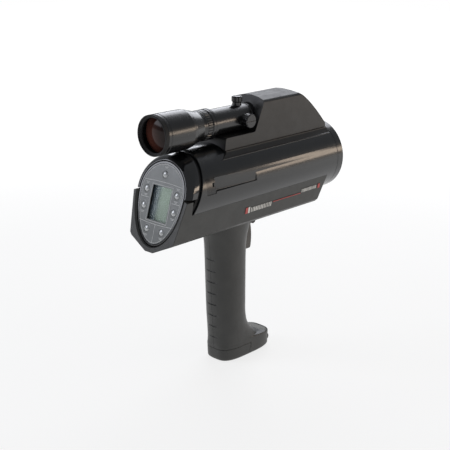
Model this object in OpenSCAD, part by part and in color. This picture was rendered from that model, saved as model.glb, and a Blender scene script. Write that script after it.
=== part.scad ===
// Long-range pistol-grip instrument: a metal optical barrel in a two-part plastic body,
// with a tilted key-and-display panel at the rear and a telescopic sight on top.
// +X is the aiming direction, +Y is the operator's left, +Z is up.
// The origin is the centre of the tripod socket's mouth, on the flat foot of the handle.
// "Back" distances are measured rearwards from the muzzle, heights named dz from the barrel's axis.

/* [Barrel] */
// Height of the barrel's axis above the flat foot
axis_h = 184.5; // [180:0.5:190]
// Outer radius of the barrel
barrel_r = 35.5; // [35:0.1:36]
// Wall of the barrel
barrel_wall = 4.5; // [4:0.1:5]
// Distance from the tripod socket forward to the muzzle
muzzle_x = 100; // [98:0.5:102]
// Barrel's rear end, behind the muzzle at the axis
barrel_back = 206; // [205:0.5:207]
// Slant of the barrel's rear end from square, in degrees
groove_tilt = 21; // [20:0.5:22]
// Depth of the recess in front of the objective lens
lens_recess = 13; // [12:0.5:14]

/* [Display panel] */
// Panel face, behind the muzzle at the axis
panel_back = 219.8; // [219:0.2:221]
// Slant of the panel from square, in degrees
tilt = 17; // [16:0.5:18]
// Half width of the panel frame
panel_r = 28.4; // [28:0.1:28.6]
// Depth of the panel frame below its widest line
panel_drop = 48.6; // [48:0.1:49]
// Key button radius
key_r = 3.0; // [2.5:0.1:3.2]
// Key travel when pressed
key_travel = 0.5; // [0.3:0.05:0.5]

/* [Body shell] */
// Wall of the plastic shells
wall = 2.4; // [2:0.1:2.6]
// Half width of the body at its lower edge
body_low_y = 28.3; // [28:0.1:29]
// Lower edge of the flat sides, below the axis
side_low = 39.5; // [39:0.1:40]
// Keel, below the axis
keel_low = 51.2; // [51:0.1:52]
// Front end of the body's top edge, behind the muzzle
body_front = 21; // [20:0.5:22]

/* [Handle] */
// Thickness of the battery door at the foot
door_h = 12.5; // [12:0.1:13]
// Spacing of the finger grooves
groove_pitch = 11.6; // [11.4:0.1:11.8]

/* [Sight] */
// Height of the sight's axis above the barrel's axis
sight_dz = 53.6; // [53.5:0.1:54]
// Sight tube radius
sight_r = 12.7; // [12.7:0.1:12.8]
// Rear rim of the eyepiece, behind the muzzle
eye_back = 230.8; // [230:0.2:232]
// Eyepiece radius
eye_r = 18.4; // [18:0.1:18.5]
// Roof of the hood above the barrel's axis
hood_dz = 73.3; // [73:0.1:74]

/* [Fits] */
// Radial clearance of shafts and pins that turn
run_fit = 0.05; // [0.02:0.01:0.1]
// Gap between parts that are only placed together
gap = 0.3; // [0.2:0.05:0.4]

/* [Tripod socket] */
// Radius of the 1/4-20 socket's minor diameter
socket_r = 2.6; // [2.5:0.05:2.7]
// Depth of the socket
socket_depth = 10; // [9:0.5:11]

/* [Hidden] */
$fn = 64;

mold_black = "#35383a";
casing_grey = "#4c4c4a";
gloss_black = "#1c1e20";
hood_black = "#2c2c2c";
panel_grey = "#858787";
steel = "#b4b6b8";
eps = 0.01;
big = 400;
panel_x = muzzle_x - panel_back;
groove_w = 3.8;
screw_r = 1.5;
body_top_y = 32.5;
body_corner_dz = 14.3;
body_top_dz = 4;
hood_screw_backs = [40, 150];
hood_screw_y = 12;
board_screw_backs = [80, 192];
knuckle_r = 4.4;
arm_y = 9.6;
channel_front = 186;
channel_rear = 198;
channel_h = 12.4;
elevation_back = 122;
windage_back = 124;
dial_shaft_r = 2;
key_body_x = [-0.9, 2.0];
key_flange = [2.0, 3.0];
cap_r = barrel_r - 0.6;
panel_depth = 7;
board_x = 4.0;
board_t = 1.6;
overlay_t = 0.6;
frame_t = 1.9;
lcd_w = 24;
lcd_low = -25;
lcd_high = 6;
trigger_pin_at = [muzzle_x - 109, axis_h - 47];
trigger_w = 9.4;
trigger_pin_r = 1.5;
door_pin_at = [muzzle_x - 113.5, 3.4];
door_pin_r = 1.25;
door_front = 116;
cell_r = 7.1;
cell_len = 50;
cell_mid = 135.6;
eye_bore_r = 12.2;
beam_z = 8;

// Point at a distance behind the muzzle, dz above the barrel's axis
function at(back, dz) = [muzzle_x - back, axis_h + dz];

// Egg outline: half circle above cv, half ellipse of depth drop below it
function egg(r, drop, cv = 0.8, n = 48) =
    [for (i = [0:n - 1]) let (t = 360 * i / n)
        [r * cos(t), cv + (t <= 180 ? r : drop) * sin(t)]];

// Half of a superellipse with y >= 0, from rear xr to front xf, in n steps
function half_oval(xr, xf, b, p, n = 14) =
    [for (i = [0:n]) let (t = 180 * i / n, c = cos(t), s = sin(t))
        [(xr + xf) / 2 + (xf - xr) / 2 * sign(c) * pow(abs(c), 2 / p), b * pow(abs(s), 2 / p)]];

// Stations down the handle: [dz, rear, front, half width, roundness]
function stations() = [
    [-44, 163, 109, 19.4, 2.2], [-52, 161, 111.5, 18.8, 2.2], [-58, 159.4, 113.6, 18.2, 2.2],
    [-68, 158.2, 115.2, 17.8, 2.2], [-84, 157.3, 115.6, 17.7, 2.2], [-110, 156.1, 115.6, 17.7, 2.2],
    [-134, 154.8, 115.6, 17.7, 2.2], [-146, 154, 113.8, 17.6, 2.2], [-156, 153.3, 109, 17.5, 2.3],
    [-162, 152.9, 103.5, 17.3, 2.5], [-166.8, 152.6, 98, 17.2, 2.8], [-168.2, 152.5, 83.5, 17.2, 3.2],
    [-170, 152.3, 81.5, 17.2, 3.4], [-182.7, 151.5, 82, 17.1, 3.4], [-184.5, 149.8, 83.8, 15.8, 3.4]];

// Solid lofted through half-oval rings, flat at y = 0; shrink pulls every side in
module half_loft(rings, shrink = 0, shift = 0) {
    m = 15;
    pts = [for (s = rings)
        for (q = half_oval(muzzle_x - s[1] + shrink, muzzle_x - s[2] - shrink, s[3] - shrink, s[4]))
            [q[0], q[1] - shift, axis_h + s[0]]];
    k = len(rings);
    sides = [for (j = [0:k - 2]) for (i = [0:m - 1]) let (a = j * m + i, b = j * m + (i + 1) % m)
        [a, b, b + m, a + m]];
    polyhedron(pts, concat([[for (i = [0:m - 1]) m - 1 - i]], sides,
        [[for (i = [0:m - 1]) (k - 1) * m + i]]), convexity = 6);
}

// Extrudes a (y, z) outline along X
module along_x(x0, x1) {
    translate([x0, 0, 0]) rotate([90, 0, 90]) linear_extrude(x1 - x0) children();
}

// Extrudes an (x, z) outline along Y, centred
module across_y(w) {
    rotate([90, 0, 0]) linear_extrude(w, center = true) children();
}

// Cylinder along X between two distances behind the muzzle
module rod_x(back0, back1, r, dz = 0, y = 0) {
    translate([muzzle_x - back0, y, axis_h + dz]) rotate([0, 90, 0]) cylinder(h = back0 - back1, r = r);
}

// Solid turned about an X axis at height dz; the outline is [radius, distance behind the muzzle]
module turned_x(dz) {
    translate([muzzle_x, 0, axis_h + dz]) rotate([0, -90, 0]) rotate_extrude($fn = 96) children();
}

// Places children in the panel's frame: local X points into the body, local Z up the panel
module at_panel(depth = 0) {
    translate([panel_x, 0, axis_h]) rotate([0, tilt, 0]) translate([depth, 0, 0]) children();
}

// Half space in front of a plane slanted by angle, crossing the axis at distance back
module ahead_of(back, angle) {
    translate([muzzle_x - back, 0, axis_h]) rotate([0, angle, 0])
        translate([0, -big / 2, -big / 2]) cube(big);
}

// ---- body shell ----

// Half outline of the body seen from behind, between the keel and the height top
module body_outline(inset = 0, top = body_top_dz, y0 = 0) {
    slope = (body_top_y - body_low_y) / (side_low - body_corner_dz);
    polygon([
        [y0, axis_h - keel_low + inset], [5, axis_h - keel_low + inset + 0.3],
        [body_low_y - 2.4 - inset * 0.6, axis_h - side_low - 1.7 + inset],
        [body_low_y - inset, axis_h - side_low + inset * 0.6 + 0.8],
        [body_low_y + slope * (side_low + top) - inset, axis_h + top], [y0, axis_h + top]]);
}

// Side view of the body, with the slanted front and the rear end on the panel's slant
module body_side(inset = 0, rear = -1.3) {
    top = body_top_dz;
    rise = (side_low - body_corner_dz) / 10;
    low = keel_low + 1;
    front = body_front + inset;
    polygon([
        at(panel_back - rear - top * tan(tilt), top), at(front, top), at(front, -body_corner_dz),
        at(front + (low - body_corner_dz) / rise, -low), at(panel_back - rear + low * tan(tilt), -low)]);
}

// Solid body block of one side, before it is hollowed
module body_block(inset = 0, rear = -1.3, y0 = 0, top = body_top_dz) {
    intersection() {
        along_x(muzzle_x - 250, muzzle_x) body_outline(inset, top, y0);
        across_y(100) body_side(inset, rear);
    }
}

// Space taken by the rear cap and by the groove, above the body's rear shoulders
module shoulder_cut() {
    translate([0, 28, axis_h - 0.6]) rotate([-16, 0, 0])
        translate([muzzle_x - 250, 0, 0]) cube([250, 60, 30]);
    translate([muzzle_x - 250, -60, axis_h - 0.6]) cube([250, 89, 30]);
}

// Cylinder along +Y from y = from, centred on the (x, z) point p
module y_rod(p, from, len, r) {
    translate([p[0], from, p[1]]) rotate([-90, 0, 0]) cylinder(h = len, r = r);
}

// Places of the five screws that join the two shells: [back, dz, half length]
function screw_places() = [for (p = [[62, -43.2], [94, -43.2], [170, -43.2], [206, -43.2], [87, -177]])
    [p[0], p[1], 12]];

// Hollow inside the handle: [dz, rear, front, half width, roundness]
function hollow_stations() = [
    [-36, 158, 110, 20, 2.4], [-58, 157.5, 113.4, 18.4, 2.4], [-84, 157, 115.6, 17.9, 2.4],
    [-134, 154.6, 115.6, 17.9, 2.4], [-172, 152.4, 115.6, 17.6, 2.6], [-190, 151.6, 115.6, 17.4, 2.6]];

module shell_half() {
    difference() {
        union() {
            difference() {
                union() {
                    body_block();
                    half_loft(stations());
                }
                // hollow of the body, and of the handle down to the battery door
                body_block(inset = wall, rear = 6, y0 = -1, top = 6);
                half_loft(hollow_stations(), wall, 0.5);
            }
            for (s = screw_places()) y_rod(at(s[0], s[1]), 0, s[2], 3.4);
            y_rod(trigger_pin_at, 5.1, 6, 3.6);
        }
        // barrel, cap and groove
        rod_x(barrel_back + 8, -1, barrel_r + 0.1);
        difference() {
            rod_x(panel_back + 12, barrel_back - 10, barrel_r + 0.1);
            translate([muzzle_x - 250, -60, axis_h - 100]) cube([250, 120, 99.6]);
        }
        shoulder_cut();
        // egg-shaped mouth for the panel, flared at the rim
        at_panel(-4) along_x(0, panel_depth + 4.4) polygon(egg(panel_r + 0.6, panel_drop + 0.6));
        hull() {
            at_panel(-2.6) along_x(0, 0.1) polygon(egg(panel_r + 4.6, panel_drop + 2.6));
            at_panel(1.4) along_x(0, 0.1) polygon(egg(panel_r - 1, panel_drop - 0.2));
        }
        // trigger slot and pin hole
        translate([muzzle_x - 123, -5.2, axis_h - 79.4]) cube([22, 10.4, 38]);
        y_rod(trigger_pin_at, 0, 9.4, trigger_pin_r);
        // finger grooves round the back of the handle
        for (i = [0:7]) translate([muzzle_x - 158.2 + 0.6 * i, 0, axis_h - 78.4 - groove_pitch * i])
            cube([3.4, 60, 1.5], center = true);
        // battery door space, with the hinge knuckle left standing beside the door's arm
        difference() {
            translate([muzzle_x - 160, -1, -1]) cube([160 - door_front, 40, door_h + 1]);
            y_rod(door_pin_at, arm_y + 0.7, 40, knuckle_r);
        }
        y_rod(door_pin_at, -1, 15, door_pin_r);
        translate([muzzle_x - door_front - 1, -1, -1]) cube([7, arm_y + 1.7, 8.2]);
        // socket insert, jack and its cover, in the toe
        translate([0, 0, -1]) cylinder(h = socket_depth + 3.1, r = 5);
        translate([muzzle_x - 90.5, 0, 11.6]) cylinder(h = 10, r = 3.9);
        jack_recess(gap);
    }
}

// Oval recess in the toe's ledge
module jack_recess(grow = 0) {
    floor_z = axis_h - 170.0 - (grow > 0 ? 0.1 : 0);
    for (s = [-1, 1]) translate([muzzle_x - 90.2, s * 8, floor_z]) cylinder(h = 4, r = 4.6 + grow);
    translate([muzzle_x - 94.8 - grow, -8, floor_z]) cube([9.2 + 2 * grow, 16, 4]);
}

// Everything on the +Y side of the seam
module left_side() {
    translate([-200, 0.08, -10]) cube([400, 100, 400]);
}

module housing_left() {
    color(casing_grey) difference() {
        intersection() {
            shell_half();
            left_side();
        }
        // clear holes and head recesses
        for (s = screw_places()) {
            y_rod(at(s[0], s[1]), -1, 60, screw_r + 0.2);
            y_rod(at(s[0], s[1]), s[2] - 3, 40, 3.0);
        }
    }
}

module housing_right() {
    color(casing_grey) mirror([0, 1, 0]) difference() {
        intersection() {
            shell_half();
            left_side();
        }
        // blind holes that the screws cut their thread in
        for (s = screw_places()) y_rod(at(s[0], s[1]), -1, s[2] - 2, screw_r);
    }
}

module housing_screws() {
    color(steel) for (s = screw_places()) translate([at(s[0], s[1])[0], 0, at(s[0], s[1])[1]]) {
        rotate([90, 0, 0]) translate([0, 0, -(s[2] - 3)]) cylinder(h = s[2] * 2 - 8, r = screw_r);
        difference() {
            rotate([-90, 0, 0]) translate([0, 0, s[2] - 3]) cylinder(h = 2, r = 2.8);
            translate([0, s[2] - 0.9, 0]) cube([3.6, 1.2, 0.8], center = true);
            translate([0, s[2] - 0.9, 0]) cube([0.8, 1.2, 3.6], center = true);
        }
    }
}

// ---- barrel ----

// Upright rods at the four hood screws
module hood_screw_rods(dz, len, r) {
    for (b = hood_screw_backs) for (s = [-1, 1])
        translate([muzzle_x - b, s * hood_screw_y, axis_h + dz]) cylinder(h = len, r = r);
}

module barrel_tube() {
    color(gloss_black) difference() {
        intersection() {
            rod_x(barrel_back + 30, 9, barrel_r);
            ahead_of(barrel_back, groove_tilt);
        }
        rod_x(barrel_back + 31, 8, barrel_r - barrel_wall);
        // step that the front bezel's skirt sits in
        rod_x(14, 8, barrel_r - 2);
        // milled beam channels, running out forwards
        for (s = [-1, 1]) {
            translate([muzzle_x - channel_rear, s > 0 ? 31.4 : -39.4, axis_h])
                cube([channel_rear - channel_front, 8, 14.6]);
            translate([muzzle_x - channel_front, s * barrel_r, axis_h + beam_z]) rotate([0, 0, s * 2.2])
                translate([0, -3.4, -channel_h / 2]) cube([54, 6.8, channel_h]);
        }
        // holes for the hood's screws
        hood_screw_rods(20, 20, 1.7);
    }
}

module lens_bezel() {
    color(gloss_black) turned_x(0) polygon([
        [29.2, 0.8], [29.8, 0.2], [34.9, 0], [barrel_r, 0.6], [barrel_r, 8.85], [33.35, 8.85],
        [33.35, 13.9], [30.9, 13.9], [30.9, lens_recess], [28.4, lens_recess], [28.4, 2.4]]);
}

module objective_lens() {
    color("#3d3648") intersection() {
        rod_x(lens_recess + 8, lens_recess + 0.1, 30.6, $fn = 128);
        translate([muzzle_x - lens_recess - 120.2, 0, axis_h]) sphere(r = 120, $fn = 256);
    }
}

module lens_seat_ring() {
    color(steel) difference() {
        rod_x(lens_recess + 14, lens_recess + 8.2, 30.8);
        rod_x(lens_recess + 15, lens_recess + 7, 27.5);
    }
}

module baffle_tube() {
    color(mold_black) difference() {
        union() {
            rod_x(142, 28, 24);
            for (b = [30, 140]) rod_x(b, b - 2, 30.7);
        }
        rod_x(143, 27, 22.4);
    }
}

module detector_can() {
    color(steel) difference() {
        union() {
            rod_x(170, 160, 7.5);
            rod_x(170, 168.4, 9);
        }
        rod_x(160.6, 159, 3.5);
    }
}

module detector_board() {
    color("#2f6b3f") difference() {
        rod_x(172, 170.2, 30.5);
        for (a = [45:90:315]) rod_x(173, 170, 1.6, 25 * sin(a), 25 * cos(a));
    }
}

module barrel_seal() {
    color("#111111") difference() {
        intersection() {
            rod_x(barrel_back + 30, barrel_back - 20, 33.4);
            ahead_of(barrel_back + groove_w - 0.1, groove_tilt);
        }
        ahead_of(barrel_back + 0.1, groove_tilt);
        rod_x(barrel_back + 31, barrel_back - 21, 30.6);
        translate([muzzle_x - 250, -60, axis_h - 60]) cube([120, 120, 46.6]);
    }
}

// Insert at the rear of a milled channel, with the beam's exit hole
module beam_port(s) {
    difference() {
        intersection() {
            translate([muzzle_x - channel_rear + 0.1, s > 0 ? 31.5 : -37.5, axis_h + 0.1])
                cube([channel_rear - channel_front - 0.2, 6, 14.4]);
            rod_x(200, 180, barrel_r - 0.5, $fn = 192);
        }
        rod_x(190, 180, 2, beam_z, s * 33);
    }
}

module beam_port_right() { color("#141414") beam_port(-1); }
module beam_port_left() { color("#141414") beam_port(1); }

module rear_cap() {
    color(gloss_black) difference() {
        intersection() {
            rod_x(panel_back + 12, barrel_back - 20, cap_r);
            at_panel() rotate([0, 90, 0]) union() {
                cylinder(h = 6, r1 = 30.2, r2 = 35.9);
                translate([0, 0, 6 - eps]) cylinder(h = 40, r = 60);
            }
            translate([muzzle_x - 250, -60, axis_h - 0.2]) cube([250, 120, 60]);
        }
        ahead_of(barrel_back + groove_w, groove_tilt);
        at_panel(-2) rotate([0, 90, 0]) translate([-0.8, 0, 0]) cylinder(h = 60, r = panel_r + 0.6);
    }
}

// ---- display panel, drawn in the panel's own frame ----

// Keys: [y, height up the panel]
function key_places() = [[0, 17.3], [-19.2, 1.5], [-19.2, -13.8], [19.2, 1.5], [19.2, -13.8],
    [-9.5, -33.4], [9.5, -33.4]];

module panel_holes(x0, x1, r) {
    for (k = key_places()) translate([x0, k[0], k[1]]) rotate([0, 90, 0]) cylinder(h = x1 - x0, r = r);
}

module window_block(x0, x1, grow) {
    translate([x0, -lcd_w / 2 - grow, lcd_low - grow])
        cube([x1 - x0, lcd_w + 2 * grow, lcd_high - lcd_low + 2 * grow]);
}

module panel_frame() {
    color(gloss_black) at_panel() difference() {
        along_x(0, panel_depth) polygon(egg(panel_r, panel_drop));
        along_x(-1, overlay_t) polygon(egg(26.2, 46.8));
        along_x(frame_t, 10) polygon(egg(panel_r - 2, panel_drop - 2));
        panel_holes(-1, 3, key_r + gap);
        window_block(-1, 3, 0);
    }
}

module keypad_overlay() {
    color(panel_grey) at_panel() difference() {
        along_x(0.1, overlay_t) polygon(egg(26, 46.5));
        panel_holes(-1, 3, key_r + gap);
        window_block(-1, 3, 0);
    }
}

module lcd_window() {
    color("#59605e") at_panel() window_block(frame_t + 0.1, frame_t + 1, 1.5);
}

module lcd_module() {
    color("#727970") at_panel() union() {
        window_block(frame_t + 1.1, frame_t + 4, 2);
        window_block(frame_t + 4, frame_t + 6, 0);
    }
}

module keypad_board() {
    color("#2f6b3f") at_panel() union() {
        difference() {
            along_x(board_x, board_x + board_t) polygon(egg(panel_r - 2.4, panel_drop - 2.4));
            window_block(0, 12, 2.4);
        }
        panel_holes(key_flange[1] + key_travel + 0.2, board_x, 2.4);
    }
}

module key_button(i) {
    k = key_places()[i];
    color("#9a9c9c") at_panel() translate([0, k[0], k[1]]) rotate([0, 90, 0]) union() {
        cylinder(h = key_body_x[1], r = key_r);
        intersection() {
            translate([0, 0, key_body_x[0]]) cylinder(h = 2, r = key_r);
            translate([0, 0, 5.0]) sphere(r = 5.9);
        }
        translate([0, 0, key_flange[0]]) cylinder(h = key_flange[1] - key_flange[0], r = key_r + 0.9);
    }
}

module key_top() { key_button(0); }
module key_right_upper() { key_button(1); }
module key_right_lower() { key_button(2); }
module key_left_upper() { key_button(3); }
module key_left_lower() { key_button(4); }
module key_bottom_right() { key_button(5); }
module key_bottom_left() { key_button(6); }

module main_board() {
    color("#2f6b3f") difference() {
        translate([muzzle_x - 196, -16, axis_h - 38.6]) cube([120, 32, 1.6]);
        for (b = board_screw_backs) for (s = [-1, 1])
            translate([muzzle_x - b, s * 12.5, axis_h - 45]) cylinder(h = 10, r = 1.6);
    }
}

// ---- hood and sight ----

module hood_outline(inset = 0) {
    half = [[25.35, 24.85], [25.2, 25.8], [20.2, 30.4], [19.6 - inset, 31.4], [19 - inset, 68.3 - inset],
        [17.2 - inset, 70.3 - inset], [9, hood_dz - 0.8 - inset], [0.01, hood_dz - inset]];
    polygon([
        for (s = [-1, 1]) for (q = s < 0 ? half : [for (i = [len(half) - 1:-1:0]) half[i]])
            [s * q[0], q[1]]]);
}

// Point on the hood's bowed brow, t from 0 at the roof to 1 at the muzzle: [back, dz]
function brow(t) = let (roof = [50.5, hood_dz - 3.8], bow = [34, hood_dz - 13.3], muzzle = [11.5, 35])
    (1 - t) * (1 - t) * roof + 2 * t * (1 - t) * bow + t * t * muzzle;

module hood_side(inset = 0) {
    polygon([for (p = concat(
        [[168.5, 20], [168.5, 24.9], [158.6 - inset, 30], [157 - inset, 42.4 - inset],
         [117.2 - inset, 42.4 - inset], [102.6 - inset, hood_dz + 1 - inset],
         [58 + inset, hood_dz + 1 - inset]],
        [for (t = [0:0.125:1]) brow(t) + [inset, -inset]], [[11.5, 20]])) [-p[0], p[1]]]);
}

module hood() {
    color(hood_black) difference() {
        intersection() {
            translate([0, 0, axis_h]) along_x(muzzle_x - 170, muzzle_x - 10) hood_outline();
            translate([muzzle_x, 0, axis_h]) across_y(60) hood_side();
        }
        rod_x(170, 5, barrel_r + 0.1);
        // bed and bore for the sight tube, then the hollow round its front half
        rod_x(170, 90, sight_r + 0.1, sight_dz);
        intersection() {
            translate([0, 0, axis_h]) along_x(muzzle_x - 106, muzzle_x - 50) hood_outline(2.6);
            translate([muzzle_x - 104, -17, axis_h + 38]) cube([52, 34, hood_dz - 41]);
        }
        rod_x(60, 5, 14.2, sight_dz);
        // hood screws from inside the barrel
        hood_screw_rods(20, 17.4, 1.25);
        // turret clearance in the bed
        translate([muzzle_x - windage_back, -sight_r, axis_h + sight_dz]) rotate([90, 0, 0])
            cylinder(h = 12, r = 8);
    }
}

module hood_screws() {
    color(steel) {
        hood_screw_rods(27.4, 9.5, 1.25);
        hood_screw_rods(25.6, 1.8, 2.6);
    }
}

module sight_tube() {
    color(gloss_black) difference() {
        union() {
            rod_x(160, 47, sight_r, sight_dz);
            rod_x(188, 160, eye_bore_r, sight_dz);
            turned_x(sight_dz) polygon([
                [11, 160], [13.2, 160], [14.4, 161.2], [14.4, 166.6], [13.8, 167.6], [11, 167.6]]);
        }
        rod_x(189, 46, sight_r - 1.8, sight_dz);
    }
}

module front_lens() {
    color("#4a3a44") intersection() {
        rod_x(55, 49.5, sight_r - 1.85, sight_dz, $fn = 128);
        translate([muzzle_x - 49.5 - 40, 0, axis_h + sight_dz]) sphere(r = 40, $fn = 256);
    }
}

module front_lens_ring() {
    color(gloss_black) difference() {
        rod_x(49.4, 47.4, sight_r - 1.85, sight_dz);
        rod_x(50, 47, 9, sight_dz);
    }
}

module erector_cell() {
    color("#8a7a4a") difference() {
        rod_x(140, 100, 7, sight_dz);
        rod_x(141, 99, 5.6, sight_dz);
    }
}

module turret_seat_top() {
    color(gloss_black) difference() {
        translate([muzzle_x - elevation_back, 0, axis_h + sight_dz]) cylinder(h = 15.1, r = 4.3);
        rod_x(140, 100, sight_r + 0.02, sight_dz);
        translate([muzzle_x - elevation_back, 0, axis_h + sight_dz])
            cylinder(h = 30, r = dial_shaft_r + run_fit);
    }
}

module turret_seat_side() {
    color(gloss_black) translate([muzzle_x - windage_back, 0, axis_h + sight_dz]) difference() {
        rotate([90, 0, 0]) cylinder(h = 14.8, r = 5.8);
        translate([-20, 0, 0]) rotate([0, 90, 0]) cylinder(h = 40, r = sight_r + 0.02);
        rotate([90, 0, 0]) cylinder(h = 30, r = dial_shaft_r + run_fit);
    }
}

// Coin-slotted dial on a screw; local Z points out of the sight
module dial(base, top, r) {
    difference() {
        union() {
            rotate_extrude() polygon([
                [0, base], [r - 0.5, base], [r, base + 0.6], [r, top - 0.8], [r - 0.8, top], [0, top]]);
            translate([0, 0, 13.2]) cylinder(h = base - 13.2 + eps, r = dial_shaft_r);
        }
        translate([0, 0, top]) cube([r * 3, 1.1, 1.6], center = true);
        for (i = [0:11]) rotate([0, 0, i * 30]) translate([r + 0.35, 0, base + 0.8])
            cylinder(h = top - base - 2.2, r = 0.75, $fn = 24);
    }
}

module elevation_dial() {
    color(gloss_black) translate([muzzle_x - elevation_back, 0, axis_h + sight_dz]) dial(15.3, 20.6, 5.1);
}

module windage_dial() {
    color(gloss_black) translate([muzzle_x - windage_back, 0, axis_h + sight_dz]) rotate([90, 0, 0])
        dial(15, 20.6, 6.8);
}

module lock_ring() {
    color(gloss_black) difference() {
        turned_x(sight_dz) polygon([
            [eye_bore_r + run_fit, 168], [13.8, 168], [14.3, 168.5], [14.3, 173.5], [13.8, 174],
            [eye_bore_r + run_fit, 174]]);
        for (i = [0:35]) rotate_about_sight(i * 10) rod_x(174.5, 167.5, 0.45, sight_dz + 14.45);
    }
}

// Turns children about the sight's axis
module rotate_about_sight(a) {
    translate([0, 0, axis_h + sight_dz]) rotate([a, 0, 0]) translate([0, 0, -axis_h - sight_dz]) children();
}

module eyepiece_bell() {
    color(gloss_black) turned_x(sight_dz) polygon([
        [eye_bore_r + run_fit, 174.3], [14.3, 174.3], [14.3, 178.4], [17.6, 191], [eye_r - 0.2, 196],
        [eye_r, 206], [eye_r, 226.5], [16.9, 226.5], [16.9, 200], [eye_bore_r + run_fit, 188.5]]);
}

module eyepiece_lens() {
    color("#5a4440") intersection() {
        rod_x(225, 217, 16.8, sight_dz, $fn = 128);
        translate([muzzle_x - 225 + 44, 0, axis_h + sight_dz]) sphere(r = 44, $fn = 256);
    }
}

module eyepiece_ring() {
    color("#1a1a1a") turned_x(sight_dz) polygon([
        [15.6, 226.6], [18.4, 226.6], [18.4, 230.2], [17.8, eye_back], [17.2, eye_back], [15.6, 228.4]]);
}

// ---- trigger ----

module trigger() {
    pin = [trigger_pin_at[0], 0, trigger_pin_at[1]];
    color("#5b5a58") difference() {
        union() {
            translate(pin) rotate([90, 0, 0]) cylinder(h = trigger_w, r = 4.4, center = true);
            translate([muzzle_x - 112, -trigger_w / 2, axis_h - 62]) cube([6.4, trigger_w, 15]);
            // blade with a bowed finger face, its back edge inside the handle
            intersection() {
                translate([muzzle_x - 117.2, -trigger_w / 2, axis_h - 78]) cube([18, trigger_w, 25.4]);
                translate([muzzle_x - 164, 0, axis_h - 66]) rotate([90, 0, 0])
                    cylinder(h = 20, r = 60, center = true, $fn = 192);
            }
        }
        translate(pin) rotate([90, 0, 0]) cylinder(h = 14, r = trigger_pin_r + run_fit, center = true);
        translate([pin[0], 1.6, pin[2]]) rotate([-90, 0, 0]) cylinder(h = 6, r = 3.2);
    }
}

module trigger_pin() {
    color(steel) y_rod(trigger_pin_at, -8.8, 17.6, trigger_pin_r);
}

// Torsion spring coiled on the trigger's pin, drawn as closed turns
module trigger_spring() {
    color(steel) for (i = [0:3]) translate([trigger_pin_at[0], 2.1 + i * 0.7, trigger_pin_at[1]])
        rotate([90, 0, 0]) rotate_extrude($fn = 32) translate([2.4, 0]) circle(r = 0.32, $fn = 16);
}

module trigger_switch() {
    color("#222222") translate([muzzle_x - 127, -6, axis_h - 66]) cube([6, 12, 10]);
}

// ---- power and foot ----

module battery_cells() {
    color("#8f8f86") for (s = [-1, 1]) for (j = [0, 1])
        translate([muzzle_x - cell_mid + s * (cell_r + 0.15), 0, door_h + 3 + j * (cell_len + 0.6)]) {
            cylinder(h = cell_len - 1.4, r = cell_r);
            translate([0, 0, cell_len - 1.4]) cylinder(h = 1.4, r = 2.6);
        }
}

module battery_contacts() {
    color(steel) translate([muzzle_x - cell_mid - 14.5, -6, door_h + 2 * cell_len + 5]) cube([27, 12, 1]);
}

module battery_door() {
    color(casing_grey) difference() {
        union() {
            intersection() {
                union() {
                    half_loft(stations());
                    mirror([0, 1, 0]) half_loft(stations());
                }
                translate([muzzle_x - 160, -40, -1]) cube([160 - door_front - 0.3, 80, door_h + 0.7]);
            }
            // hinge arm and snap tongue
            translate([muzzle_x - door_front - 1, -arm_y, 1.2]) cube([4.4, 2 * arm_y, 4.4]);
            y_rod(door_pin_at, -arm_y, 2 * arm_y, 2.2);
            translate([muzzle_x - 149.2, -5, door_h - 2]) cube([1.4, 10, 4]);
        }
        // hollow inside, with the cell seat, then the pin and the seats of the two knuckles
        translate([muzzle_x - 147, -12, 3]) cube([28, 24, 20]);
        y_rod(door_pin_at, -15, 30, door_pin_r + run_fit);
        for (s = [-1, 1]) y_rod(door_pin_at, s > 0 ? arm_y : -arm_y - 20, 20, knuckle_r + gap);
    }
}

module door_pin() {
    color(steel) y_rod(door_pin_at, -13.8, 27.6, door_pin_r);
}

module tripod_insert() {
    color("#b59a55") difference() {
        cylinder(h = socket_depth + 2, r = 4.9);
        translate([0, 0, -1]) cylinder(h = socket_depth + 1, r = socket_r);
    }
}

module jack_cover() {
    color("#6b6b68") difference() {
        jack_recess();
        translate([-200, -100, axis_h - 168.2 + 0.35]) cube([400, 200, 50]);
    }
}

module power_jack() {
    color("#1e1e1e") translate([muzzle_x - 90.5, 0, 11.7]) difference() {
        cylinder(h = 2.6, r = 3.6);
        translate([0, 0, 0.8]) cylinder(h = 10, r = 1.4);
    }
}

// ---- trim ----

// Thin plates that lie on the slanted flat side of the body
module side_trim(s) {
    lean = atan((body_top_y - body_low_y) / (side_low - body_corner_dz));
    translate([0, s * body_low_y, axis_h - side_low]) rotate([s * -lean, 0, 0]) union() {
        translate([muzzle_x - 142, s > 0 ? 0.02 : -0.42, 9.6]) cube([38, 0.4, 6.4]);
        translate([muzzle_x - 103, s > 0 ? 0.02 : -0.42, 13.4]) cube([41, 0.4, 0.9]);
        translate([muzzle_x - 61, s > 0 ? 0.02 : -0.42, 13.0]) cube([30, 0.4, 5.6]);
    }
}

module side_trim_right() { color("#a83a34") side_trim(-1); }
module side_trim_left() { color("#a83a34") side_trim(1); }

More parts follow.
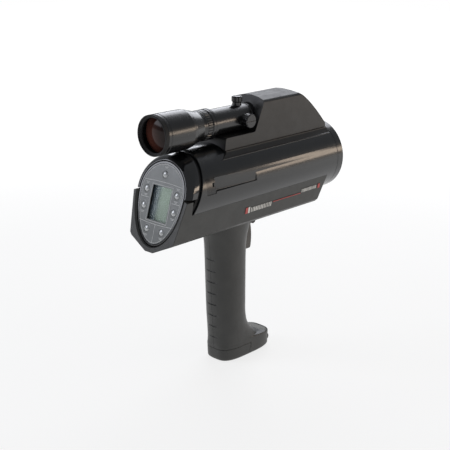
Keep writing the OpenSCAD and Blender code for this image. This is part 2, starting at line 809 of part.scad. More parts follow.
housing_left();
housing_right();
barrel_tube();
lens_bezel();
objective_lens();
lens_seat_ring();
baffle_tube();
detector_can();
detector_board();
barrel_seal();
rear_cap();
panel_frame();
keypad_overlay();
lcd_window();
lcd_module();
keypad_board();
key_top();
key_right_upper();
key_right_lower();
key_left_upper();
key_left_lower();
key_bottom_right();
key_bottom_left();
main_board();
beam_port_right();
beam_port_left();
hood();
hood_screws();
sight_tube();
front_lens();
front_lens_ring();
erector_cell();
turret_seat_top();
turret_seat_side();
elevation_dial();
windage_dial();
lock_ring();
eyepiece_bell();
eyepiece_lens();
eyepiece_ring();
trigger();
trigger_pin();
trigger_spring();
trigger_switch();
battery_cells();
battery_contacts();
battery_door();
door_pin();
tripod_insert();
jack_cover();
power_jack();
housing_screws();
side_trim_right();
side_trim_left();
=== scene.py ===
"""Studio scene of a pistol-grip infrared thermometer with a telescopic sight.

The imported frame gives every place. Lengths in the classes are millimetres: `back` is the distance
behind the muzzle, `dz` the height above the barrel's axis, +X the aiming direction, +Y the
operator's left and +Z up. Meshes are written in metres.
"""
import sys
import logging
import math
from dataclasses import dataclass, field
from enum import Enum
from functools import partial
from typing import Any, Iterable, Sequence

import bmesh
import bpy
from mathutils import Matrix, Vector


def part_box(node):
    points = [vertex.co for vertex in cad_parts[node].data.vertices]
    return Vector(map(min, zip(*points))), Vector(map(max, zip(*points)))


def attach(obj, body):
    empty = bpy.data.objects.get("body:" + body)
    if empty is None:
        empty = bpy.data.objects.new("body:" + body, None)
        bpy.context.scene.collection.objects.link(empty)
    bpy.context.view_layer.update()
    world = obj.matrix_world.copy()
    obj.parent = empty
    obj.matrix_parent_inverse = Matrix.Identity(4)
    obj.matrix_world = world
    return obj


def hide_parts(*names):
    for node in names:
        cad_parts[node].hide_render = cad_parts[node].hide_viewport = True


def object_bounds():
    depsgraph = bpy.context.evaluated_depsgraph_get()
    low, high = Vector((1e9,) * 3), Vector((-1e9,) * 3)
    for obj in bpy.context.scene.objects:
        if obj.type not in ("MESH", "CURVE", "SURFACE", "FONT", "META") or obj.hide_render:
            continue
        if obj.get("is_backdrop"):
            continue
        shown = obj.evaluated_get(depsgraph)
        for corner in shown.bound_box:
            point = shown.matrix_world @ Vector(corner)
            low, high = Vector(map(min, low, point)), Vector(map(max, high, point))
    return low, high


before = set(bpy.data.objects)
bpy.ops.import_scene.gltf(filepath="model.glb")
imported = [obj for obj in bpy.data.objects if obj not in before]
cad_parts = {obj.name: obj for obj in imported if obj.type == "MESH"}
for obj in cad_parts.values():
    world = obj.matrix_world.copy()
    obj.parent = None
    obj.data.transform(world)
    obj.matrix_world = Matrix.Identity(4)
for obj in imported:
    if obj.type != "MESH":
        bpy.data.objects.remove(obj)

Pair = tuple[float, float]
Faces = list[tuple[int, ...]]
MM = 0.001
LOG = logging.getLogger("thermometer")


class Plane(Enum):
    """The plane that a prism's outline is drawn in, and so the way it is extruded."""

    ACROSS = "outline in y and z, extruded along x"
    SIDE = "outline in x and z, extruded along y"
    PLAN = "outline in x and y, extruded along z"


class Cut(Enum):
    """How one solid is combined with another."""

    AWAY = "DIFFERENCE"
    ADD = "UNION"
    SHARED = "INTERSECT"


class Hand(Enum):
    """The two sides of the instrument, as the sign of y."""

    LEFT = 1
    RIGHT = -1


# ---------------------------------------------------------------- measuring the frame


@dataclass(frozen=True)
class Datum:
    """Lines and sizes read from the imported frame, in millimetres."""

    muzzle: float
    axis: float
    sight_axis: float
    barrel_r: float
    cad_low: tuple[float, ...]
    cad_high: tuple[float, ...]

    @classmethod
    def measured(cls) -> "Datum":
        """Reads the barrel's and the sight's axes from their nodes' boxes."""
        low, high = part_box("lens_bezel")
        eye_low, eye_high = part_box("eyepiece_ring")
        all_low, all_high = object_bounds()
        return cls(
            muzzle=high[0] / MM,
            axis=(low[2] + high[2]) / 2 / MM,
            sight_axis=(eye_low[2] + eye_high[2]) / 2 / MM,
            barrel_r=(high[1] - low[1]) / 2 / MM,
            cad_low=tuple(all_low),
            cad_high=tuple(all_high),
        )

    def x(self, back: float) -> float:
        """X of a point this far behind the muzzle."""
        return self.muzzle - back

    def z(self, dz: float) -> float:
        """Z of a point this far above the barrel's axis."""
        return self.axis + dz

    def side(self, points: Iterable[Pair]) -> list[Pair]:
        """Turns (back, dz) points into (x, z) points."""
        return [(self.x(b), self.z(d)) for b, d in points]


# ---------------------------------------------------------------- solids


def outward(obj: bpy.types.Object) -> bpy.types.Object:
    """Merges an object's doubled points and turns its faces outwards.

    Args:
        obj: The object.

    Returns:
        The same object.
    """
    work = bmesh.new()
    work.from_mesh(obj.data)
    bmesh.ops.remove_doubles(work, verts=work.verts, dist=2e-7)
    bmesh.ops.dissolve_degenerate(work, edges=work.edges, dist=1e-8)
    bmesh.ops.recalc_face_normals(work, faces=work.faces)
    work.to_mesh(obj.data)
    work.free()
    return obj


def solid(name: str, points: Iterable[Sequence[float]], faces: Faces) -> bpy.types.Object:
    """Makes a closed mesh object from points in millimetres.

    Args:
        name: Name of the object.
        points: Corners, in millimetres.
        faces: Corner numbers of each face.

    Returns:
        The new object, at the origin, its faces outwards.
    """
    mesh = bpy.data.meshes.new(name)
    mesh.from_pydata([tuple(c * MM for c in p) for p in points], [], faces)
    obj = bpy.data.objects.new(name, mesh)
    bpy.context.scene.collection.objects.link(obj)
    return outward(obj)


def loft(name: str, rings: Sequence[Sequence[Sequence[float]]]) -> bpy.types.Object:
    """Makes a closed solid through rings of equal length, with a flat cap at each end.

    Args:
        name: Name of the solid.
        rings: Rings of points, in millimetres.

    Returns:
        The closed solid.
    """
    count = len(rings[0])
    points = [p for ring in rings for p in ring]
    faces: Faces = []
    for row in range(len(rings) - 1):
        for i in range(count):
            j = (i + 1) % count
            faces.append((row * count + i, row * count + j, (row + 1) * count + j, (row + 1) * count + i))
    faces.append(tuple(range(count)))
    faces.append(tuple((len(rings) - 1) * count + i for i in reversed(range(count))))
    return solid(name, points, faces)


def prism(name: str, outline: Sequence[Pair], low: float, high: float, plane: Plane) -> bpy.types.Object:
    """Extrudes an outline between two distances along the axis that its plane leaves free.

    Args:
        name: Name of the solid.
        outline: Corners, in millimetres.
        low: Where it starts.
        high: Where it ends.
        plane: The plane of the outline.

    Returns:
        The closed solid.
    """
    place = {
        Plane.ACROSS: lambda p, t: (t, p[0], p[1]),
        Plane.SIDE: lambda p, t: (p[0], t, p[1]),
        Plane.PLAN: lambda p, t: (p[0], p[1], t),
    }[plane]
    return loft(name, [[place(p, t) for p in outline] for t in (low, high)])


def rounded(outline: Sequence[Pair], radii: float | Sequence[float], steps: int = 5) -> list[Pair]:
    """Rounds the corners of a closed outline with arcs.

    Args:
        outline: Corners in order.
        radii: One radius, or one for each corner; 0 leaves a corner sharp.
        steps: Segments of each arc.

    Returns:
        The outline with its arcs' points.
    """
    corners = [Vector(p) for p in outline]
    result: list[Pair] = []
    for i, corner in enumerate(corners):
        radius = radii if isinstance(radii, (int, float)) else radii[i]
        a, b = corners[i - 1] - corner, corners[(i + 1) % len(corners)] - corner
        reach = 0.48 * min(a.length, b.length)
        a.normalize()
        b.normalize()
        angle = math.acos(max(-1.0, min(1.0, a.dot(b))))
        if radius <= 0 or angle > math.pi - 0.03:
            result.append(tuple(corner))
            continue
        tangent = min(radius / math.tan(angle / 2), reach)
        centre = corner + (a + b).normalized() * (tangent / math.cos(angle / 2))
        start, end = corner + a * tangent - centre, corner + b * tangent - centre
        sweep = math.atan2(start.x * end.y - start.y * end.x, start.dot(end))
        for k in range(steps + 1):
            t = sweep * k / steps
            result.append((
                centre.x + start.x * math.cos(t) - start.y * math.sin(t),
                centre.y + start.x * math.sin(t) + start.y * math.cos(t),
            ))
    return result


def slab(name: str, x: Pair, y: Pair, z: Pair) -> bpy.types.Object:
    """Makes a square-edged block between two values on each axis."""
    return prism(name, [(x[0], z[0]), (x[1], z[0]), (x[1], z[1]), (x[0], z[1])], *y, Plane.SIDE)


def rod(name: str, start: Sequence[float], end: Sequence[float], radius: float,
        sides: int = 64) -> bpy.types.Object:
    """Makes a round rod between two points, used to bore holes and to build bosses.

    Args:
        name: Name of the solid.
        start: First point, in millimetres.
        end: Last point, in millimetres.
        radius: Radius, in millimetres.
        sides: Sides of the polygon.

    Returns:
        The closed solid.
    """
    a, b = Vector(start), Vector(end)
    turn = (b - a).to_track_quat("Z", "Y").to_matrix()
    ring = [turn @ Vector((radius * math.cos(t), radius * math.sin(t), 0)) for t in circle(sides)]
    return loft(name, [[a + p for p in ring], [b + p for p in ring]])


def circle(sides: int) -> list[float]:
    """Angles of the corners of a regular polygon, in radians."""
    return [2 * math.pi * i / sides for i in range(sides)]


def applied(obj: bpy.types.Object) -> bpy.types.Object:
    """Turns an object's evaluated modifiers into its plain mesh.

    Args:
        obj: The object.

    Returns:
        The same object.
    """
    graph = bpy.context.evaluated_depsgraph_get()
    mesh = bpy.data.meshes.new_from_object(obj.evaluated_get(graph), depsgraph=graph)
    obj.modifiers.clear()
    old, obj.data = obj.data, mesh
    bpy.data.meshes.remove(old)
    return obj


def combine(base: bpy.types.Object, how: Cut, *others: bpy.types.Object) -> bpy.types.Object:
    """Cuts, joins or intersects a solid with others, and removes the others.

    Args:
        base: The solid that stays.
        how: Cut, join or intersect.
        *others: Solids that are used up.

    Returns:
        The solid that stays.
    """
    for other in others:
        step = base.modifiers.new(how.name, "BOOLEAN")
        step.operation, step.solver, step.object = how.value, "MANIFOLD", other
        applied(base)
        bpy.data.objects.remove(other)
    return base


def duplicate(obj: bpy.types.Object, name: str) -> bpy.types.Object:
    """Copies an object and its mesh."""
    copy = bpy.data.objects.new(name, obj.data.copy())
    bpy.context.scene.collection.objects.link(copy)
    return copy


def softened(obj: bpy.types.Object, width: float, segments: int = 2, angle: float = 40) -> bpy.types.Object:
    """Rounds the sharp edges of a solid by a width in millimetres.

    Args:
        obj: The object.
        width: Width of the rounding, in millimetres.
        segments: Steps of the rounding.
        angle: Smallest angle that counts as an edge, in degrees.

    Returns:
        The same object.
    """
    bevel = obj.modifiers.new("edges", "BEVEL")
    bevel.width, bevel.segments = width * MM, segments
    bevel.limit_method, bevel.angle_limit = "ANGLE", math.radians(angle)
    return applied(obj)


def smoothed(obj: bpy.types.Object, angle: float = 35) -> bpy.types.Object:
    """Shades a mesh smooth up to an angle, with normals weighted to its large faces."""
    obj.data.shade_smooth()
    obj.data.set_sharp_from_angle(angle=math.radians(angle))
    obj.modifiers.new("normals", "WEIGHTED_NORMAL").keep_sharp = True
    return applied(obj)


def fitted(obj: bpy.types.Object, body: str, finish: "Finish", *nodes: str) -> bpy.types.Object:
    """Dresses a finished piece, puts it on its body and lets it stand for its nodes.

    Args:
        obj: The piece.
        body: Name of the body that it rides on.
        finish: Its finish.
        *nodes: CAD nodes that it replaces.

    Returns:
        The same piece.
    """
    obj.data.materials.clear()
    obj.data.materials.append(finish.material())
    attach(obj, body)
    if nodes:
        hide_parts(*nodes)
    LOG.info("%s: %d faces on %s, %s", obj.name, len(obj.data.polygons), body, finish.slot)
    return obj


# ---------------------------------------------------------------- node trees


def add_node(tree: bpy.types.NodeTree, kind: str, settings: dict[str, Any] | None = None,
             links: dict[Any, Any] | None = None) -> bpy.types.Node:
    """Adds a node to a tree with its settings and its inputs.

    Args:
        tree: Shader or geometry tree.
        kind: The node's type name.
        settings: Properties of the node.
        links: Inputs by name or number: a socket is linked, anything else is a plain value.

    Returns:
        The new node.
    """
    node = tree.nodes.new(kind)
    for key, value in (settings or {}).items():
        setattr(node, key, value)
    for key, value in (links or {}).items():
        socket = node.inputs[key]
        if isinstance(value, bpy.types.NodeSocket):
            tree.links.new(value, socket)
        else:
            socket.default_value = value
    return node


def add_sum(tree: bpy.types.NodeTree, operation: str, a: Any, b: Any = 0.0) -> bpy.types.NodeSocket:
    """Adds one Math node and returns its result."""
    return add_node(tree, "ShaderNodeMath", {"operation": operation}, {0: a, 1: b}).outputs[0]


class GeometryTool:
    """A geometry tree that turns a base mesh and named sizes into one plain mesh."""

    inputs: dict[str, str] = {}
    title = "tool"

    def __init__(self) -> None:
        """Builds the tree once."""
        self.tree = bpy.data.node_groups.new(self.title, "GeometryNodeTree")
        face = self.tree.interface
        face.new_socket("Geometry", in_out="INPUT", socket_type="NodeSocketGeometry")
        for name, kind in {**self.inputs, "Material": "NodeSocketMaterial"}.items():
            face.new_socket(name, in_out="INPUT", socket_type=kind)
        face.new_socket("Geometry", in_out="OUTPUT", socket_type="NodeSocketGeometry")
        self.given = self.tree.nodes.new("NodeGroupInput")
        made = add_node(self.tree, "GeometryNodeRealizeInstances", None, {"Geometry": self.build()})
        dressed = add_node(self.tree, "GeometryNodeSetMaterial", None,
                           {"Geometry": made.outputs[0], "Material": self.given.outputs["Material"]})
        add_node(self.tree, "NodeGroupOutput", None, {0: dressed.outputs[0]})

    def build(self) -> bpy.types.NodeSocket:
        """Builds the tree's own nodes and returns the socket of their geometry."""
        raise NotImplementedError

    def add(self, kind: str, settings: dict[str, Any] | None = None,
            links: dict[Any, Any] | None = None) -> bpy.types.Node:
        """Adds a node to this tool's tree."""
        return add_node(self.tree, kind, settings, links)

    def made(self, name: str, points: Sequence[Sequence[float]], finish: "Finish",
             edges: Sequence[tuple[int, int]] = (), **sizes: Any) -> bpy.types.Object:
        """Runs the tool on a base mesh.

        Args:
            name: Name of the piece.
            points: Points of the base mesh, in millimetres.
            finish: Finish that the tree sets.
            edges: Edges of the base mesh.
            **sizes: The tree's named inputs, with _ for a space.

        Returns:
            A plain mesh object, its faces outwards.
        """
        mesh = bpy.data.meshes.new(name)
        mesh.from_pydata([tuple(c * MM for c in p) for p in points], list(edges), [])
        obj = bpy.data.objects.new(name, mesh)
        bpy.context.scene.collection.objects.link(obj)
        step = obj.modifiers.new(self.title, "NODES")
        step.node_group = self.tree
        sizes["Material"] = finish.material()
        for item in self.tree.interface.items_tree:
            key = item.name.replace(" ", "_")
            if item.in_out == "INPUT" and key in sizes:
                step[item.identifier] = sizes[key]
        return outward(applied(obj))


class TurningTool(GeometryTool):
    """Turns a profile of (x, radius) points about an axis, as a lathe does, with optional flutes."""

    title = "turning"
    inputs = {
        "Segments": "NodeSocketInt", "Points": "NodeSocketInt",
        "Slant": "NodeSocketFloat", "Slant Front": "NodeSocketFloat", "Slant Rear": "NodeSocketFloat",
        "Flutes": "NodeSocketInt", "Flute Depth": "NodeSocketFloat", "Flute Floor": "NodeSocketFloat",
        "Rotation": "NodeSocketVector", "Place": "NodeSocketVector",
    }

    def build(self) -> bpy.types.NodeSocket:
        """Wraps a grid round the axis: rows are angles, columns are the profile's points."""
        tree, given = self.tree, self.given.outputs
        columns = add_sum(tree, "ADD", given["Points"], 1.0)
        grid = self.add("GeometryNodeMeshGrid", None, {
            "Vertices X": add_sum(tree, "ADD", given["Segments"], 1.0), "Vertices Y": columns})
        index = self.add("GeometryNodeInputIndex").outputs[0]
        row = add_sum(tree, "FLOOR", add_sum(tree, "DIVIDE", add_sum(tree, "ADD", index, 0.5), columns))
        column = add_sum(tree, "SUBTRACT", index, add_sum(tree, "MULTIPLY", row, columns))
        wrapped = add_sum(tree, "FLOORED_MODULO", column, given["Points"])
        turn = add_sum(tree, "FLOORED_MODULO", row, given["Segments"])
        angle = add_sum(tree, "MULTIPLY", add_sum(tree, "DIVIDE", turn, given["Segments"]), 2 * math.pi)
        sample = self.add("GeometryNodeSampleIndex", {"data_type": "FLOAT_VECTOR", "domain": "POINT"}, {
            "Geometry": given["Geometry"], "Value": self.add("GeometryNodeInputPosition").outputs[0],
            "Index": wrapped})
        point = self.add("ShaderNodeSeparateXYZ", None, {0: sample.outputs[0]}).outputs
        wave = add_sum(tree, "COSINE", add_sum(tree, "MULTIPLY", angle, given["Flutes"]))
        notch = add_sum(tree, "POWER", add_sum(tree, "MAXIMUM", wave, 0.0), 4.0)
        notch = add_sum(tree, "MULTIPLY", notch, given["Flute Depth"])
        deep = add_sum(tree, "GREATER_THAN", point[2], given["Flute Floor"])
        notch = add_sum(tree, "MULTIPLY", notch, deep)
        radius = add_sum(tree, "SUBTRACT", point[2], notch)
        height = add_sum(tree, "MULTIPLY", radius, add_sum(tree, "COSINE", angle))
        span = add_sum(tree, "SUBTRACT", given["Slant Front"], given["Slant Rear"])
        along = add_sum(tree, "DIVIDE", add_sum(tree, "SUBTRACT", given["Slant Front"], point[0]), span)
        along = add_sum(tree, "MINIMUM", add_sum(tree, "MAXIMUM", along, 0.0), 1.0)
        shear = add_sum(tree, "MULTIPLY", add_sum(tree, "MULTIPLY", along, given["Slant"]), height)
        place = self.add("ShaderNodeCombineXYZ", None, {
            0: add_sum(tree, "ADD", point[0], shear),
            1: add_sum(tree, "MULTIPLY", radius, add_sum(tree, "SINE", angle)), 2: height})
        bent = self.add("GeometryNodeSetPosition", None, {
            "Geometry": grid.outputs["Mesh"], "Position": place.outputs[0]})
        closed = self.add("GeometryNodeMergeByDistance", None, {"Geometry": bent.outputs[0],
                                                                "Distance": 1e-6})
        return self.add("GeometryNodeTransform", None, {
            "Geometry": closed.outputs[0], "Rotation": given["Rotation"],
            "Translation": given["Place"]}).outputs[0]

    def turned(self, name: str, profile: Sequence[Pair], finish: "Finish", centre: Sequence[float],
               aim: Sequence[float] = (0.0, 0.0, 0.0), segments: int = 128,
               **more: Any) -> bpy.types.Object:
        """Turns a closed profile.

        Args:
            name: Name of the piece.
            profile: (x, radius) points in millimetres, x along the axis from the centre.
            finish: Finish of the piece.
            centre: Point that the axis starts from, in millimetres.
            aim: Euler angles that turn the X axis on to the piece's axis.
            segments: Steps round the axis.
            **more: Other named inputs of the tree.

        Returns:
            The turned solid.
        """
        sizes = {"Slant": 0.0, "Slant_Front": 1.0, "Slant_Rear": 0.0, "Flutes": 0, "Flute_Depth": 0.0,
                 "Flute_Floor": 1.0}
        sizes.update(more)
        return self.made(name, [(x, 0, r) for x, r in profile], finish, Segments=segments,
                         Points=len(profile), Rotation=tuple(aim), Place=tuple(c * MM for c in centre),
                         **sizes)


class RowTool(GeometryTool):
    """Repeats a block along a straight row: finger grooves, scale ticks and chip rows."""

    title = "row"
    inputs = {
        "Count": "NodeSocketInt", "Start": "NodeSocketVector", "Step": "NodeSocketVector",
        "Block": "NodeSocketVector", "Turn": "NodeSocketVector", "Spread": "NodeSocketFloat",
    }

    def build(self) -> bpy.types.NodeSocket:
        """Sets a block on each point of a line, a seeded share of them narrower."""
        given = self.given.outputs
        line = self.add("GeometryNodeMeshLine", {"mode": "OFFSET"}, {
            "Count": given["Count"], "Start Location": given["Start"], "Offset": given["Step"]})
        block = self.add("GeometryNodeMeshCube", None, {"Size": given["Block"]})
        low = self.add("ShaderNodeCombineXYZ", None, {
            0: add_sum(self.tree, "SUBTRACT", 1.0, given["Spread"]), 1: 1.0, 2: 1.0})
        scale = self.add("FunctionNodeRandomValue", {"data_type": "FLOAT_VECTOR"}, {
            "Min": low.outputs[0], "Max": (1.0, 1.0, 1.0), "Seed": 7})
        return self.add("GeometryNodeInstanceOnPoints", None, {
            "Points": line.outputs[0], "Instance": block.outputs["Mesh"],
            "Rotation": given["Turn"], "Scale": scale.outputs[0]}).outputs[0]

    def row(self, name: str, finish: "Finish", count: int, start: Sequence[float], step: Sequence[float],
            block: Sequence[float], turn: Sequence[float] = (0, 0, 0),
            spread: float = 0.0) -> bpy.types.Object:
        """Makes a row of blocks; lengths are millimetres and turn is in radians.

        Args:
            name: Name of the piece.
            finish: Its finish.
            count: Number of blocks.
            start: Place of the first block.
            step: Offset from one to the next.
            block: Size of a block.
            turn: Euler angles of a block, in radians.
            spread: How much narrower a block may be.

        Returns:
            The row, as one mesh.
        """
        return self.made(name, [(0, 0, 0)], finish, Count=count, Start=[c * MM for c in start],
                         Step=[c * MM for c in step], Block=[c * MM for c in block],
                         Turn=list(turn), Spread=spread)


class ScrewTool(GeometryTool):
    """Sets a domed, cross-recessed screw on every point of the base mesh."""

    title = "screws"
    inputs = {"Head Radius": "NodeSocketFloat", "Head Height": "NodeSocketFloat",
              "Shank Radius": "NodeSocketFloat", "Shank Length": "NodeSocketFloat",
              "Slot": "NodeSocketFloat", "Turn": "NodeSocketVector"}

    def build(self) -> bpy.types.NodeSocket:
        """Joins a head, with its cross cut out, to a shank that runs down from it."""
        tree, given = self.tree, self.given.outputs
        head = self.add("GeometryNodeMeshCylinder", None, {
            "Vertices": 40, "Radius": given["Head Radius"], "Depth": given["Head Height"]})
        length = add_sum(tree, "MULTIPLY", given["Slot"], 4.2)
        arms = [self.add("ShaderNodeCombineXYZ", None, {
            0: length if k else given["Slot"], 1: given["Slot"] if k else length,
            2: given["Head Height"]}).outputs[0] for k in (0, 1)]
        lift = self.add("ShaderNodeCombineXYZ", None, {
            0: 0.0, 1: 0.0, 2: add_sum(tree, "MULTIPLY", given["Head Height"], 0.55)}).outputs[0]
        cut = head.outputs["Mesh"]
        for arm in arms:
            bar = self.add("GeometryNodeMeshCube", None, {"Size": arm})
            bar = self.add("GeometryNodeTransform", None, {
                "Geometry": bar.outputs["Mesh"], "Translation": lift})
            cut = self.add("GeometryNodeMeshBoolean", {"operation": "DIFFERENCE", "solver": "EXACT"}, {
                0: cut, 1: bar.outputs[0]}).outputs[0]
        shank = self.add("GeometryNodeMeshCylinder", None, {
            "Vertices": 24, "Radius": given["Shank Radius"], "Depth": given["Shank Length"]})
        both = add_sum(tree, "ADD", given["Shank Length"], given["Head Height"])
        drop = add_sum(tree, "MULTIPLY", both, -0.499)
        place = self.add("ShaderNodeCombineXYZ", None, {0: 0.0, 1: 0.0, 2: drop})
        shank = self.add("GeometryNodeTransform", None, {
            "Geometry": shank.outputs["Mesh"], "Translation": place.outputs[0]})
        screw = self.add("GeometryNodeMeshBoolean", {"operation": "UNION", "solver": "EXACT"})
        tree.links.new(cut, screw.inputs[1])
        tree.links.new(shank.outputs[0], screw.inputs[1])
        return self.add("GeometryNodeInstanceOnPoints", None, {"Points": given["Geometry"],
                                                               "Instance": screw.outputs[0],
                                                               "Rotation": given["Turn"]}).outputs[0]


class WireTool(GeometryTool):
    """Sweeps a round wire along a coil."""

    title = "coil"
    inputs = {
        "Turns": "NodeSocketFloat", "Coil Radius": "NodeSocketFloat", "Wire Radius": "NodeSocketFloat",
        "Length": "NodeSocketFloat", "Rotation": "NodeSocketVector", "Place": "NodeSocketVector",
    }

    def build(self) -> bpy.types.NodeSocket:
        """Sweeps a circle along a spiral of constant radius."""
        given = self.given.outputs
        coil = self.add("GeometryNodeCurveSpiral", None, {
            "Resolution": 40, "Rotations": given["Turns"], "Start Radius": given["Coil Radius"],
            "End Radius": given["Coil Radius"], "Height": given["Length"]})
        ring = self.add("GeometryNodeCurvePrimitiveCircle", None, {
            "Resolution": 12, "Radius": given["Wire Radius"]})
        wire = self.add("GeometryNodeCurveToMesh", None, {
            "Curve": coil.outputs[0], "Profile Curve": ring.outputs[0], "Fill Caps": True})
        return self.add("GeometryNodeTransform", None, {
            "Geometry": wire.outputs[0], "Rotation": given["Rotation"],
            "Translation": given["Place"]}).outputs[0]


class StripTool(GeometryTool):
    """Lays a flat printed strip along the base mesh's edges."""

    title = "printed strip"
    inputs = {"Width": "NodeSocketFloat", "Height": "NodeSocketFloat"}

    def build(self) -> bpy.types.NodeSocket:
        """Sweeps a flat rectangle along the edges."""
        given = self.given.outputs
        path = self.add("GeometryNodeMeshToCurve", None, {"Mesh": given["Geometry"]})
        shape = self.add("GeometryNodeCurvePrimitiveQuadrilateral", None, {
            "Width": given["Width"], "Height": given["Height"]})
        return self.add("GeometryNodeCurveToMesh", None, {
            "Curve": path.outputs[0], "Profile Curve": shape.outputs[0], "Fill Caps": True}).outputs[0]


# ---------------------------------------------------------------- finishes


def tone(code: str) -> tuple[float, float, float, float]:
    """Turns an sRGB hex colour into linear values."""
    parts = [int(code[i:i + 2], 16) / 255 for i in (1, 3, 5)]
    return tuple(c / 12.92 if c <= 0.04045 else ((c + 0.055) / 1.055) ** 2.4 for c in parts) + (1.0,)


def per_mm(size: float) -> float:
    """Texture scale that gives a pattern of this size in millimetres on Object coordinates."""
    return 1 / (size * MM)


@dataclass(frozen=True)
class Finish:
    """A surface finish: its slot, its name, its colour and how it takes the light.

    Mottle is a slow drift of the colour over `mottle_mm`. Grain is the fine relief of the mould or
    of the tool, `grain_mm` across and `grain_depth` deep. Rubbed is the share of polished patches.
    """

    slot: str
    name: str
    colour: str
    roughness: float = 0.5
    metallic: float = 0.0
    mottle: float = 0.12
    mottle_mm: float = 18.0
    grain_mm: float = 0.5
    grain_depth: float = 0.02
    rubbed: float = 0.08
    stretch: tuple[float, float, float] = (1.0, 1.0, 1.0)
    sockets: tuple[tuple[str, float], ...] = ()

    def material(self) -> bpy.types.Material:
        """Returns the finish's material, made once."""
        return bpy.data.materials.get(self.name) or self.mixed()

    def mixed(self) -> bpy.types.Material:
        """Builds the material: drifting colour, patchy roughness and fine relief.

        Returns:
            The material.
        """
        made = bpy.data.materials.new(self.name)
        made.use_nodes = True
        tree = made.node_tree
        tree.nodes.clear()
        shader = add_node(tree, "ShaderNodeBsdfPrincipled", None, {"Metallic": self.metallic})
        for name, value in self.sockets:
            shader.inputs[name].default_value = value
        coords = add_node(tree, "ShaderNodeTexCoord").outputs["Object"]
        lined = add_node(tree, "ShaderNodeMapping", None,
                         {"Vector": coords, "Scale": self.stretch}).outputs[0]
        drift = add_node(tree, "ShaderNodeTexNoise", None, {
            "Vector": coords, "Scale": per_mm(self.mottle_mm), "Detail": 4.0}).outputs["Fac"]
        grain = self.relief(tree, coords, lined)
        tree.links.new(self.paint(tree, coords, drift), shader.inputs["Base Color"])
        patch = add_node(tree, "ShaderNodeTexNoise", None, {
            "Vector": coords, "Scale": per_mm(self.mottle_mm * 0.45), "Detail": 6.0, "Roughness": 0.65})
        rough = add_node(tree, "ShaderNodeMapRange", None, {
            "Value": patch.outputs["Fac"], "From Min": 0.3, "From Max": 0.7,
            "To Min": max(self.roughness - self.rubbed, 0.02), "To Max": self.roughness + self.rubbed})
        tree.links.new(rough.outputs[0], shader.inputs["Roughness"])
        bump = add_node(tree, "ShaderNodeBump", None, {
            "Height": grain, "Strength": 1.0, "Distance": self.grain_depth * MM})
        tree.links.new(bump.outputs[0], shader.inputs["Normal"])
        add_node(tree, "ShaderNodeOutputMaterial", None, {"Surface": self.surface(tree, shader)})
        made.diffuse_color = tone(self.colour)
        return made

    def relief(self, tree: bpy.types.NodeTree, coords: Any, lined: Any) -> bpy.types.NodeSocket:
        """Fine relief: two sizes of noise, drawn out along the working direction.

        Args:
            tree: The material's tree.
            coords: Object coordinates; not used here.
            lined: Coordinates drawn out along the working direction.

        Returns:
            Socket of the height.
        """
        fine = add_node(tree, "ShaderNodeTexNoise", None, {
            "Vector": lined, "Scale": per_mm(self.grain_mm), "Detail": 3.0, "Roughness": 0.6})
        coarse = add_node(tree, "ShaderNodeTexNoise", None, {
            "Vector": lined, "Scale": per_mm(self.grain_mm * 6), "Detail": 2.0})
        waves = add_sum(tree, "MULTIPLY", coarse.outputs["Fac"], 0.4)
        return add_sum(tree, "ADD", fine.outputs["Fac"], waves)

    def paint(self, tree: bpy.types.NodeTree, coords: Any, drift: Any) -> bpy.types.NodeSocket:
        """Colour: the base tone, a little darker and lighter as it drifts.

        Args:
            tree: The material's tree.
            coords: Object coordinates; not used here.
            drift: Slow noise.

        Returns:
            Socket of the colour.
        """
        base = Vector(tone(self.colour)[:3])
        dark, light = (tuple(base * (1 + s * self.mottle)) + (1.0,) for s in (-1, 1))
        return self.blend(tree, drift, dark, light, 0.35, 0.65)

    def blend(self, tree: bpy.types.NodeTree, value: Any, first: Any, second: Any,
              low: float, high: float) -> bpy.types.NodeSocket:
        """Blends two colours as a value goes from low to high.

        Args:
            tree: The material's tree.
            value: What drives the blend.
            first: Colour below the range.
            second: Colour above the range.
            low: Value of the first colour.
            high: Value of the second colour.

        Returns:
            Socket of the blended colour.
        """
        step = add_node(tree, "ShaderNodeMapRange", {"interpolation_type": "SMOOTHSTEP"}, {
            "Value": value, "From Min": low, "From Max": high})
        mix = add_node(tree, "ShaderNodeMix", {"data_type": "RGBA"}, {
            "Factor": step.outputs[0], 6: first, 7: second})
        return mix.outputs[2]

    def surface(self, tree: bpy.types.NodeTree, shader: bpy.types.Node) -> bpy.types.NodeSocket:
        """The shader that reaches the surface."""
        return shader.outputs[0]


